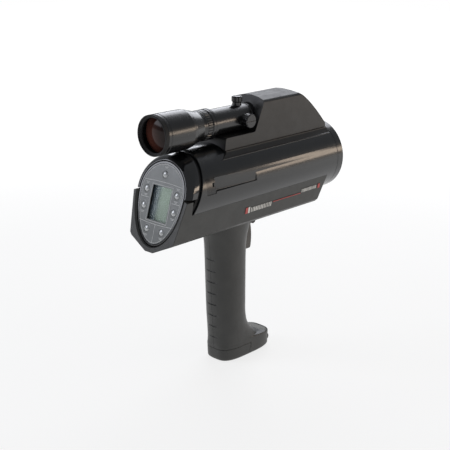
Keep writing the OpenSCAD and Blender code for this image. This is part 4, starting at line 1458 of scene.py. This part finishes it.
@dataclass
class RearPanel(Assembly):
    """The egg-shaped rear panel: frame, printed film and seven domed keys."""

    panel: PanelFrame
    strips: StripTool
    frame_r: float = 28.4
    frame_drop: float = 48.6
    film_r: float = 26.0
    film_drop: float = 46.5
    key_r: float = 3.0
    window: tuple[float, float, float, float] = (-12, 12, -25, 6)
    keys: dict[str, Pair] = field(default_factory=lambda: {
        "key_top": (0, 17.3), "key_right_upper": (-19.2, 1.5), "key_right_lower": (-19.2, -13.8),
        "key_left_upper": (19.2, 1.5), "key_left_lower": (19.2, -13.8), "key_bottom_right": (-9.5, -33.4),
        "key_bottom_left": (9.5, -33.4)})

    def holes(self, radius: float, depth: Pair) -> list[bpy.types.Object]:
        """Bores for the keys, and the window's opening."""
        y0, y1, v0, v1 = self.window
        bores = [rod("key hole", self.panel.point(depth[0], y, v), self.panel.point(depth[1], y, v),
                     radius, 48) for y, v in self.keys.values()]
        return [*bores, self.panel.block("window", (y0, y1), (v0, v1), depth, 0.4)]

    def bezel(self) -> None:
        """Panel frame: rounded rim, a recess for the film and a hollow back."""
        egg = partial(self.panel.egg, self.frame_r, self.frame_drop)
        layers = [(7, egg(0)), (0.9, egg(0)), (0.5, egg(0.12)), (0.2, egg(0.4)), (0, egg(0.9))]
        rim = self.panel.plate("panel_rim", layers)
        recess = self.panel.plate("recess", [(-1, self.panel.egg(26.2, 46.8)),
                                             (0.6, self.panel.egg(26.2, 46.8))])
        hollow = self.panel.plate("hollow", [(1.9, egg(2)), (10, egg(2))])
        rim = combine(rim, Cut.AWAY, recess, hollow, *self.holes(self.key_r + 0.3, (-1, 3)))
        fitted(smoothed(rim), "housing", Finishes.cap, "panel_frame")

    def film(self) -> None:
        """Keypad film with a soft edge, embossed a little round each key."""
        egg = partial(self.panel.egg, self.film_r, self.film_drop)
        film = self.panel.plate("keypad_film", [(0.6, egg(0)), (0.25, egg(0)), (0.1, egg(0.2))])
        emboss = [self.lathe.turned("emboss", [(-0.14, 3.3), (-0.14, 4.0), (0.02, 4.5), (0.3, 4.5),
                                               (0.3, 3.3)], Finishes.film, self.panel.point(0.1, y, v),
                                    (0, math.radians(self.panel.tilt), 0), 48)
                  for y, v in self.keys.values()]
        film = combine(film, Cut.AWAY, *self.holes(self.key_r + 0.3, (-1, 3)))
        film = combine(film, Cut.ADD, *emboss)
        fitted(smoothed(film), "housing", Finishes.film, "keypad_overlay")

    def printed(self) -> None:
        """Pale dividers, the window's border and blank legend bars, as one raised print."""
        y0, y1, v0, v1 = self.window
        b = 1.1
        lines: list[list[Pair]] = [
            [(-23.6, 9.2), (-12, 10.0), (0, 10.2), (12, 10.0), (23.6, 9.2)],
            [(-24.6, -6.2), (-14.6, -6.2)], [(14.6, -6.2), (24.6, -6.2)],
            [(-21.4, -27.2), (-10, -28.0), (0, -28.2), (10, -28.0), (21.4, -27.2)],
            [(0, -28.4), (0, -44.6)],
            [(y0 - b, v0 - b), (y1 + b, v0 - b), (y1 + b, v1 + b), (y0 - b, v1 + b), (y0 - b, v0 - b)],
        ]
        border = self.panel.egg(25.3, 45.7, 0, 72)
        lines.append(border + border[:1])
        legends = [(y, v - 5.4) for y, v in self.keys.values() if v < 10]
        legends += [(0, 24.0), (-19.2, 7.4), (19.2, 7.4)]
        for y, v in legends:
            lines += [[(y - 2.2, v), (y + 2.2, v)], [(y - 1.5, v - 1.0), (y + 1.5, v - 1.0)]]
        points: list[Sequence[float]] = []
        edges: list[tuple[int, int]] = []
        for line in lines:
            first = len(points)
            points += [self.panel.point(0.08, y, v) for y, v in line]
            edges += [(first + i, first + i + 1) for i in range(len(line) - 1)]
        ink = self.strips.made("panel_print", points, Finishes.ink, edges, Width=0.34 * MM,
                               Height=0.34 * MM)
        flatten(ink, Vector(self.panel.point(1, 0, 0)) - Vector(self.panel.point(0, 0, 0)),
                Vector(self.panel.point(0.08, 0, 0)) * MM, 0.2)
        fitted(smoothed(ink), "housing", Finishes.ink)

    def domes(self) -> None:
        """Seven keys: a low dome over a plunger with a flange, each on its own body."""
        r = self.key_r
        arc = [(-0.9 + 5.9 - math.sqrt(5.9**2 - (r * i / 8) ** 2), r * i / 8) for i in range(8)]
        profile = arc + [(0.05, r), (2.0, r), (2.0, r + 0.9), (3.0, r + 0.9), (3.0, 0.0)]
        for name, (y, v) in self.keys.items():
            key = self.lathe.turned(name + "_dome", profile, Finishes.key, self.panel.point(0, y, v),
                                    (0, math.radians(self.panel.tilt), 0), 56)
            fitted(smoothed(key), name, Finishes.key, name)

    def build(self) -> None:
        """Builds the frame, the film with its print, and the keys."""
        self.bezel()
        self.film()
        self.printed()
        self.domes()


def flatten(obj: bpy.types.Object, direction: Vector, through: Vector, keep: float) -> None:
    """Presses a mesh towards a plane, keeping a share of each point's distance from it.

    Args:
        obj: The object, changed in place.
        direction: Normal of the plane.
        through: Point of the plane, in metres.
        keep: Share of the distance that is kept.
    """
    normal = direction.normalized()
    for vertex in obj.data.vertices:
        off = (vertex.co - through).dot(normal)
        vertex.co -= normal * off * (1 - keep)


@dataclass
class SightHood(Assembly):
    """The matt hood that straddles the barrel and holds the sight's tube."""

    screws: ScrewTool
    sight_r: float = 12.7
    roof: float = 73.3

    def outline(self, inset: float = 0.0) -> list[Pair]:
        """Cross-section in y and z.

        Args:
            inset: Distance inside the outer surface.

        Returns:
            Outline in y and z.
        """
        half = [(25.35, 24.85), (25.5, 26.0), (24.4, 26.35), (21.3, 30.2), (21.0, 31.0),
                (19.6 - inset, 31.2), (19 - inset, 68.3 - inset), (17.2 - inset, 70.3 - inset),
                (9, self.roof - 0.8 - inset)]
        radii = [0.0, 0.25, 0.25, 0.3, 0.2, 0.4, 1.4, 2.4, 12.0]
        left = [(-y, self.datum.z(d)) for y, d in half]
        right = [(y, self.datum.z(d)) for y, d in reversed(half)]
        return rounded(left + [(0, self.datum.z(self.roof - inset))] + right, radii + [6.0] + radii[::-1],
                       6)

    def side(self, inset: float = 0.0) -> list[Pair]:
        """Side view: the rear saddle, the notch for the turrets and the bowed brow.

        Args:
            inset: Distance inside the outer surface.

        Returns:
            Outline in x and z.
        """
        roof, foot = Vector((50.5, self.roof - 3.8)), Vector((11.5, 35))
        bow = Vector((34, self.roof - 13.3))
        steps = [i / 20 for i in range(21)]
        brow = [roof * (1 - t) ** 2 + bow * 2 * t * (1 - t) + foot * t * t for t in steps]
        fixed = [(168.5, 20), (168.5, 24.9), (158.6, 30), (157 - inset, 42.4 - inset),
                 (117.2 - inset, 42.4 - inset), (102.6 - inset, self.roof + 1 - inset),
                 (58 + inset, self.roof + 1 - inset)]
        radii = [0, 0.6, 1.5, 2.2, 3.0, 0, 0] + [3.0] + [0] * 20 + [0]
        return rounded(self.datum.side(fixed + [tuple(p) for p in brow] + [(11.5, 20)]), radii, 6)

    def shell(self) -> None:
        """Cuts the hood from its two outlines, then bores and hollows it."""
        d, axis, sight = self.datum, self.datum.axis, self.datum.sight_axis
        hood = prism("hood_moulded", self.outline(), d.x(170), d.x(10), Plane.ACROSS)
        hood = combine(hood, Cut.SHARED, prism("side", self.side(), -30, 30, Plane.SIDE))
        hood = softened(hood, 0.7, 3, 35)
        room = prism("room", self.outline(2.6), d.x(103), d.x(52), Plane.ACROSS)
        room = combine(room, Cut.SHARED, prism("room side", self.side(2.6), -17, 17, Plane.SIDE),
                       slab("room floor", (-250, 250), (-40, 40), (d.z(38), 400)))
        side_x = d.x(124)
        hood = combine(
            hood, Cut.AWAY,
            rod("barrel", (d.x(175), 0, axis), (d.x(5), 0, axis), d.barrel_r + 0.1, 160),
            rod("bed", (d.x(175), 0, sight), (d.x(90), 0, sight), self.sight_r + 0.1, 96), room,
            rod("bore", (d.x(60), 0, sight), (d.x(5), 0, sight), 14.2, 96),
            rod("turret", (side_x, -self.sight_r, sight), (side_x, -self.sight_r - 12, sight), 8, 64))
        fitted(smoothed(hood), "housing", Finishes.hood, "hood")

    def build(self) -> None:
        """Builds the hood and its four hidden screws."""
        self.shell()
        spots = [(self.datum.x(b), y, self.datum.z(26.5)) for b in (40, 150) for y in (-12, 12)]
        piece = self.screws.made("hood_fixings", spots, Finishes.steel, Head_Radius=2.6 * MM,
                                 Head_Height=1.8 * MM, Shank_Radius=1.25 * MM, Shank_Length=9.5 * MM,
                                 Slot=0.7 * MM, Turn=(math.pi, 0, 0))
        fitted(smoothed(piece), "housing", Finishes.steel, "hood_screws")


@dataclass
class TelescopicSight(Assembly):
    """The sight: tube, turrets with their dials, fluted lock ring and the focusing eyepiece."""

    tube_r: float = 12.7
    eye_r: float = 18.4
    elevation_back: float = 122.0
    windage_back: float = 124.0

    def turn(self, name: str, profile: Sequence[Pair], body: str, finish: Finish, *nodes: str,
             corner: float = 0.25, **more: Any) -> None:
        """Turns one piece about the sight's axis and fits it."""
        piece = self.turn_x(name, profile, finish, self.datum.sight_axis, corner, **more)
        fitted(smoothed(piece), body, finish, *nodes)

    def tube(self) -> None:
        """Tube with its rear collar, the erector cell and the front lens in its ring."""
        r = self.tube_r
        self.turn("sight_tube_turned", [(47, r - 1.8), (47, r), (113, r), (113.4, r - 0.25),
                                        (113.9, r - 0.25), (114.3, r), (160, r), (160.2, 13.2),
                                        (161.2, 14.4), (163.4, 14.4), (163.7, 14.05), (164.3, 14.05),
                                        (164.6, 14.4), (166.6, 14.4), (167.6, 13.8), (167.6, 12.2),
                                        (188, 12.2), (188, r - 1.8)], "housing", Finishes.sight,
                  "sight_tube", corner=0.12)
        self.turn("sight_front_ring", [(47.4, 9.6), (47.4, 10.85), (49.4, 10.85), (49.4, 9), (48.2, 9)],
                  "housing", Finishes.sight, "front_lens_ring", corner=0.1)
        self.turn("sight_front_glass", OpticalBarrel.dome(49.5, 55, 10.85, 40), "housing",
                  Finishes.eyeglass, "front_lens", corner=0)
        self.turn("erector_sleeve", [(100, 5.6), (100, 7), (139, 7), (140, 6.6), (140, 5.6)], "housing",
                  Finishes.brass, "erector_cell", corner=0.15)

    def eyepiece(self) -> None:
        """Lock ring with flutes, bell with its taper, rubber eye ring and the amber lens."""
        bore, r = 12.25, self.eye_r
        self.turn("lock_ring_fluted", [(168, bore), (168, 13.8), (168.5, 14.3), (173.5, 14.3),
                                       (174, 13.8), (174, bore)], "lock_ring", Finishes.sight,
                  "lock_ring", corner=0.1, segments=432, Flutes=36, Flute_Depth=0.42 * MM,
                  Flute_Floor=13.0 * MM)
        bell = [(174.3, bore), (174.3, 14.3), (176.2, 14.3), (176.5, 14.0), (177.1, 14.0), (177.4, 14.3),
                (179, 14.3), (185, 15.9), (190.6, 17.4), (194.4, 18.15), (206, r), (222.6, r),
                (222.9, r - 0.3), (223.5, r - 0.3), (223.8, r), (226.5, r), (226.5, 16.9), (200, 16.9),
                (188.5, bore)]
        self.turn("eyepiece_bell_turned", bell, "eyepiece", Finishes.sight, "eyepiece_bell", corner=0.35)
        ring = [(226.6, 15.6), (226.6, r), (230.2, r), (230.8, r - 0.6), (230.8, r - 1.2), (230.0, 16.9),
                (229.4, 16.9), (229.2, 16.3), (228.6, 16.3), (228.4, 15.6)]
        self.turn("eye_ring", ring, "eyepiece", Finishes.seal, "eyepiece_ring", corner=0.12)
        self.turn("eyepiece_glass", OpticalBarrel.dome(225, 217, 16.8, 44), "eyepiece", Finishes.eyeglass,
                  "eyepiece_lens", corner=0)

    def dial(self, name: str, radius: float, base: float, centre: Sequence[float], aim: Sequence[float],
             slot: bpy.types.Object) -> None:
        """Fluted dial with a coin slot, on its shaft.

        Args:
            name: Name of the piece.
            radius: Radius of the dial.
            base: Height of its underside.
            centre: Point that the axis starts from.
            aim: Euler angles of the axis.
            slot: Cutter of the coin slot.
        """
        r = radius
        profile = rounded([(13.2, 0), (13.2, 2), (base, 2), (base, r - 0.5), (base + 0.6, r), (19.8, r),
                           (20.6, r - 0.8), (20.6, 0)], [0, 0.2, 0, 0.2, 0.2, 0.3, 0.3, 0], 3)
        piece = self.lathe.turned(name + "_cap", profile, Finishes.sight, centre, aim, 144, Flutes=12,
                                  Flute_Depth=0.55 * MM, Flute_Floor=(r - 0.9) * MM)
        fitted(smoothed(combine(piece, Cut.AWAY, slot)), name, Finishes.sight, name)

    def turrets(self) -> None:
        """Seats and dials on top and on the right side."""
        sight, r = self.datum.sight_axis, self.tube_r
        up, right = (0, -math.pi / 2, 0), (0, 0, -math.pi / 2)
        top = (self.datum.x(self.elevation_back), 0, sight)
        side = (self.datum.x(self.windage_back), 0, sight)
        for name, centre, aim, radius, high in (("turret_seat_top", top, up, 4.3, 15.1),
                                                ("turret_seat_side", side, right, 5.8, 14.8)):
            profile = rounded([(9, 2.05), (9, radius), (high, radius), (high, 2.05)], [0, 0, 0.3, 0])
            seat = self.lathe.turned(name + "_turned", profile, Finishes.sight, centre, aim, 96)
            tube = rod("tube", (self.datum.x(150), 0, sight), (self.datum.x(90), 0, sight), r + 0.02, 128)
            fitted(smoothed(combine(seat, Cut.AWAY, tube)), "housing", Finishes.sight, name)
        x, z = top[0], sight + 20.6
        slot = slab("slot", (x - 9, x + 9), (-0.55, 0.55), (z - 0.8, z + 1))
        self.dial("elevation_dial", 5.1, 15.3, top, up, slot)
        x = side[0]
        slot = slab("slot", (x - 9, x + 9), (-21.6, -19.8), (sight - 0.55, sight + 0.55))
        self.dial("windage_dial", 6.8, 15.0, side, right, slot)

    def build(self) -> None:
        """Builds the tube, the turrets and the eyepiece."""
        self.tube()
        self.turrets()
        self.eyepiece()


@dataclass
class TriggerUnit(Assembly):
    """The trigger on its pin, with its torsion spring."""

    coils: WireTool
    pin: Pair = (109.0, -47.0)
    half: float = 4.7

    def build(self) -> None:
        """Cuts the trigger from its side view and winds the spring."""
        d = self.datum
        face = [(104.0 + (dz + 66) ** 2 / 120, dz) for dz in (-54, -57, -60, -63, -66, -69, -72, -75)]
        side = [(113.4, -47.4), (112.1, -44.0), (109.0, -42.6), (105.9, -44.0), (104.6, -47.4),
                (105.3, -50.6)]
        side += face + [(105.2, -77.2), (106.6, -78), (116.2, -78), (117.2, -77), (117.2, -52.6),
                        (112.6, -52.0)]
        radii = [2, 2, 2, 2, 2, 2] + [4] * len(face) + [0.6, 0.8, 0.6, 0.6, 0.8, 1.5]
        blade = prism("trigger_moulded", rounded(d.side(side), radii, 4), -self.half, self.half, Plane.SIDE)
        blade = softened(blade, 0.9, 4, 40)
        x, z = d.x(self.pin[0]), d.z(self.pin[1])
        blade = combine(blade, Cut.AWAY, rod("bore", (x, -7, z), (x, 7, z), 1.55, 40),
                        rod("pocket", (x, 1.6, z), (x, 7.6, z), 3.2, 48))
        fitted(smoothed(blade, 30), "trigger", Finishes.trigger, "trigger")
        spring = self.coils.made("trigger_spring_wound", [(0, 0, 0)], Finishes.steel, Turns=3.4,
                                 Coil_Radius=2.4 * MM, Wire_Radius=0.32 * MM, Length=2.1 * MM,
                                 Rotation=(-math.pi / 2, 0, 0), Place=(x * MM, 2.1 * MM, z * MM))
        fitted(smoothed(spring), "housing", Finishes.steel, "trigger_spring")


@dataclass
class PowerPack(Assembly):
    """Four cells in the handle."""

    radius: float = 7.1
    length: float = 50.0
    middle: float = 135.6
    seat: float = 15.5

    def build(self) -> None:
        """Turns the cells with their crimped rims and joins them into one piece."""
        r, top = self.radius, self.length - 1.4
        profile = [(0, 0), (0, r - 1.1), (0.25, r), (top - 0.5, r), (top, r - 0.5), (top - 0.25, r - 1.4),
                   (top, 2.7), (self.length - 0.2, 2.6), (self.length, 2.3), (self.length, 0)]
        cells = [self.lathe.turned("cell", profile, Finishes.jacket,
                                   (self.datum.x(self.middle) + s * (r + 0.15), 0,
                                    self.seat + j * (self.length + 0.6)), (0, -math.pi / 2, 0), 72)
                 for s in (-1, 1) for j in (0, 1)]
        pack = cells[0]
        pack.name = "cell_pack"
        pack = combine(pack, Cut.ADD, *cells[1:])
        fitted(smoothed(pack), "housing", Finishes.jacket, "battery_cells")


@dataclass
class SideTrim(Assembly):
    """Printed strips on the body's flat sides: a red block, a pale scale and a red line."""

    rows: RowTool
    low_y: float = 28.3
    low_dz: float = -39.5
    lean: float = 9.68

    def spot(self, hand: Hand, back: float, up: float, out: float = 0.2) -> Vector:
        """Point on the slanted side: up the slope from its lower edge, and out from it.

        Args:
            hand: Its side.
            back: Distance behind the muzzle.
            up: Distance up the slope.
            out: Distance out from the slope.

        Returns:
            The point.
        """
        a = math.radians(self.lean)
        y = self.low_y + up * math.sin(a) + out * math.cos(a)
        z = self.datum.z(self.low_dz) + up * math.cos(a) - out * math.sin(a)
        return Vector((self.datum.x(back), hand.value * y, z))

    def strip(self, name: str, hand: Hand, back: float, up: float, length: float, height: float,
              finish: Finish, count: int = 1, step: float = 0.0, spread: float = 0.0) -> bpy.types.Object:
        """Row of thin blocks along the side, starting at a place and running forwards.

        Args:
            name: Name of the piece.
            hand: Its side.
            back: Distance behind the muzzle.
            up: Distance up the slope.
            length: Length of a block.
            height: Height of a block.
            finish: Its finish.
            count: Number of blocks.
            step: Offset from one to the next.
            spread: How much narrower a block may be.

        Returns:
            The row, as one mesh.
        """
        turn = (-hand.value * math.radians(self.lean), 0, 0)
        return self.rows.row(name, finish, count, self.spot(hand, back - length / 2, up), (step, 0, 0),
                             (length, 0.36, height), turn, spread)

    def build(self) -> None:
        """Lays the same trim on both sides."""
        for hand in Hand:
            side, node = hand.name.lower(), "side_trim_" + hand.name.lower()
            red = [self.strip("trim", hand, 142, 12.8, 3.1, 6.0, Finishes.red),
                   self.strip("trim", hand, 103, 13.85, 41, 0.7, Finishes.red),
                   self.strip("trim", hand, 35.2, 15.9, 3.0, 4.6, Finishes.red)]
            marks = [self.strip("mark", hand, 138.4, 12.8, 2.2, 6.0, Finishes.pale),
                     self.strip("mark", hand, 134.6, 12.4, 1.25, 4.4, Finishes.pale, 13, 2.3, 0.45),
                     self.strip("mark", hand, 60.6, 15.9, 1.0, 3.4, Finishes.pale, 12, 1.95, 0.4)]
            fitted(joined("trim_red_" + side, red), "housing", Finishes.red, node)
            fitted(joined("trim_scale_" + side, marks), "housing", Finishes.pale)


def joined(name: str, parts: Sequence[bpy.types.Object]) -> bpy.types.Object:
    """Joins separate solids into one object without cutting them.

    Args:
        name: Name of the new object.
        parts: The solids, which are used up.

    Returns:
        The joined object.
    """
    work = bmesh.new()
    for part in parts:
        work.from_mesh(part.data)
        bpy.data.objects.remove(part)
    mesh = bpy.data.meshes.new(name)
    work.to_mesh(mesh)
    work.free()
    obj = bpy.data.objects.new(name, mesh)
    bpy.context.scene.collection.objects.link(obj)
    return obj


@dataclass
class Electronics(Assembly):
    """Rows of components on the boards inside."""

    rows: RowTool
    board: Pair = (190.0, -37.0)

    def build(self) -> None:
        """Sets rows of chips on the main board."""
        back, dz = self.board
        blocks = ((-9, 8, 6, 1.6), (0, 5, 4, 2.2), (9, 9, 5, 1.2))
        chips = [self.rows.row("chips", Finishes.inner, 8,
                               (self.datum.x(back - 8), y, self.datum.z(dz) + h / 2), (13.2, 0, 0),
                               (length, width, h), (0, 0, 0), 0.5) for y, length, width, h in blocks]
        fitted(joined("board_components", chips), "housing", Finishes.inner)


# ---------------------------------------------------------------- carried-over nodes, studio and main


def dress_nodes(taken: dict[str, Finish]) -> None:
    """Puts procedural finishes on the frame's own nodes.

    Args:
        taken: Finish of each node.
    """
    for name, finish in taken.items():
        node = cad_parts[name]
        for slot in node.material_slots:
            slot.material = finish.material()
        if not node.material_slots:
            node.data.materials.append(finish.material())
        LOG.info("%s: frame node in %s", name, finish.slot)


@dataclass
class Studio:
    """Camera, paper floor and soft lights."""

    datum: Datum
    place: tuple[float, float, float] = (-0.7059, -0.6252, 0.4317)
    azimuth: float = 46.93
    elevation: float = 17.9
    roll: float = 0.38
    lens: float = 80.43

    def camera(self) -> None:
        """Long lens from behind the operator's right shoulder."""
        az, el, ro = (math.radians(a) for a in (self.azimuth, self.elevation, self.roll))
        back = Vector((-math.sin(az) * math.cos(el), -math.cos(az) * math.cos(el), math.sin(el)))
        right = Vector((math.cos(az), -math.sin(az), 0))
        up = back.cross(right)
        across, high = right * math.cos(ro) + up * math.sin(ro), up * math.cos(ro) - right * math.sin(ro)
        data = bpy.data.cameras.new("camera")
        data.lens, data.sensor_width, data.clip_start, data.clip_end = self.lens, 36, 0.05, 20
        camera = bpy.data.objects.new("camera", data)
        bpy.context.scene.collection.objects.link(camera)
        turn = Matrix((across, high, back)).transposed().to_4x4()
        camera.matrix_world = Matrix.Translation(self.place) @ turn
        bpy.context.scene.camera = camera

    def floor(self) -> None:
        """Paper sweep under the foot."""
        reach = 3000.0
        sheet = slab("studio_floor", (-reach, reach), (-reach, reach), (-2.5, -0.5))
        sheet.data.materials.append(Finishes.floor.material())
        sheet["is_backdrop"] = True

    def softbox(self, name: str, place: Sequence[float], size: Pair, power: float, colour: str) -> None:
        """Rectangular softbox aimed at the middle of the instrument.

        Args:
            name: Name of the light.
            place: Where it stands, in metres.
            size: Width and height, in metres.
            power: Power, in watts.
            colour: sRGB hex colour.
        """
        data = bpy.data.lights.new(name, "AREA")
        data.shape, data.size, data.size_y = "RECTANGLE", *size
        data.energy, data.color = power, tone(colour)[:3]
        lamp = bpy.data.objects.new(name, data)
        bpy.context.scene.collection.objects.link(lamp)
        aim = Vector((-0.02, 0, 0.16)) - Vector(place)
        lamp.location, lamp.rotation_mode = place, "QUATERNION"
        lamp.rotation_quaternion = aim.to_track_quat("-Z", "Y")

    def backdrop(self) -> None:
        """White to the camera, dim grey to the object's reflections."""
        world = bpy.data.worlds.new("studio")
        bpy.context.scene.world = world
        world.use_nodes = True
        tree = world.node_tree
        tree.nodes.clear()
        seen = add_node(tree, "ShaderNodeBackground", None, {"Color": (1, 1, 1, 1), "Strength": 1.0})
        cast = add_node(tree, "ShaderNodeBackground", None, {"Color": tone("#e8ecf2"), "Strength": 0.34})
        ray = add_node(tree, "ShaderNodeLightPath").outputs["Is Camera Ray"]
        mix = add_node(tree, "ShaderNodeMixShader", None, {0: ray, 1: cast.outputs[0], 2: seen.outputs[0]})
        add_node(tree, "ShaderNodeOutputWorld", None, {"Surface": mix.outputs[0]})

    def build(self) -> None:
        """Sets the camera, the floor, the backdrop and three softboxes."""
        self.camera()
        self.floor()
        self.backdrop()
        self.softbox("front strip", (1.15, -1.3, 0.37), (1.5, 0.26), 6.6, "#ffe9d2")
        self.softbox("overhead", (0.95, 0.6, 0.85), (1.2, 0.7), 8, "#f6f8ff")
        self.softbox("left fill", (-1.15, 1.05, 0.72), (0.8, 0.8), 7, "#f2f5ff")
        view = bpy.context.scene.view_settings
        view.view_transform, view.exposure = "Standard", 0.0


def main() -> None:
    """Builds every sub-assembly in order, then the studio, and reports each piece."""
    logging.basicConfig(level=logging.INFO, format="%(name)s: %(message)s", stream=sys.stdout)
    datum = Datum.measured()
    lathe, rows, screws = TurningTool(), RowTool(), ScrewTool()
    panel = PanelFrame(datum)
    Studio(datum).build()
    BodyShell(datum, lathe, panel, rows, screws).build()
    OpticalBarrel(datum, lathe, panel).build()
    RearPanel(datum, lathe, panel, StripTool()).build()
    SightHood(datum, lathe, screws).build()
    TelescopicSight(datum, lathe).build()
    TriggerUnit(datum, lathe, WireTool()).build()
    PowerPack(datum, lathe).build()
    SideTrim(datum, lathe, rows).build()
    Electronics(datum, lathe, rows).build()
    f = Finishes
    dress_nodes({"lens_seat_ring": f.steel, "baffle_tube": f.inner, "detector_can": f.steel,
                 "detector_board": f.board, "barrel_seal": f.seal, "lcd_window": f.window,
                 "lcd_module": f.display, "keypad_board": f.board, "main_board": f.board,
                 "beam_port_right": f.port, "beam_port_left": f.port, "trigger_switch": f.inner,
                 "battery_contacts": f.steel, "power_jack": f.inner})
    low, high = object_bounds()
    sizes = {"cad": [list(datum.cad_low), list(datum.cad_high)], "visual": [list(low), list(high)]}


if __name__ == "__main__":
    main()
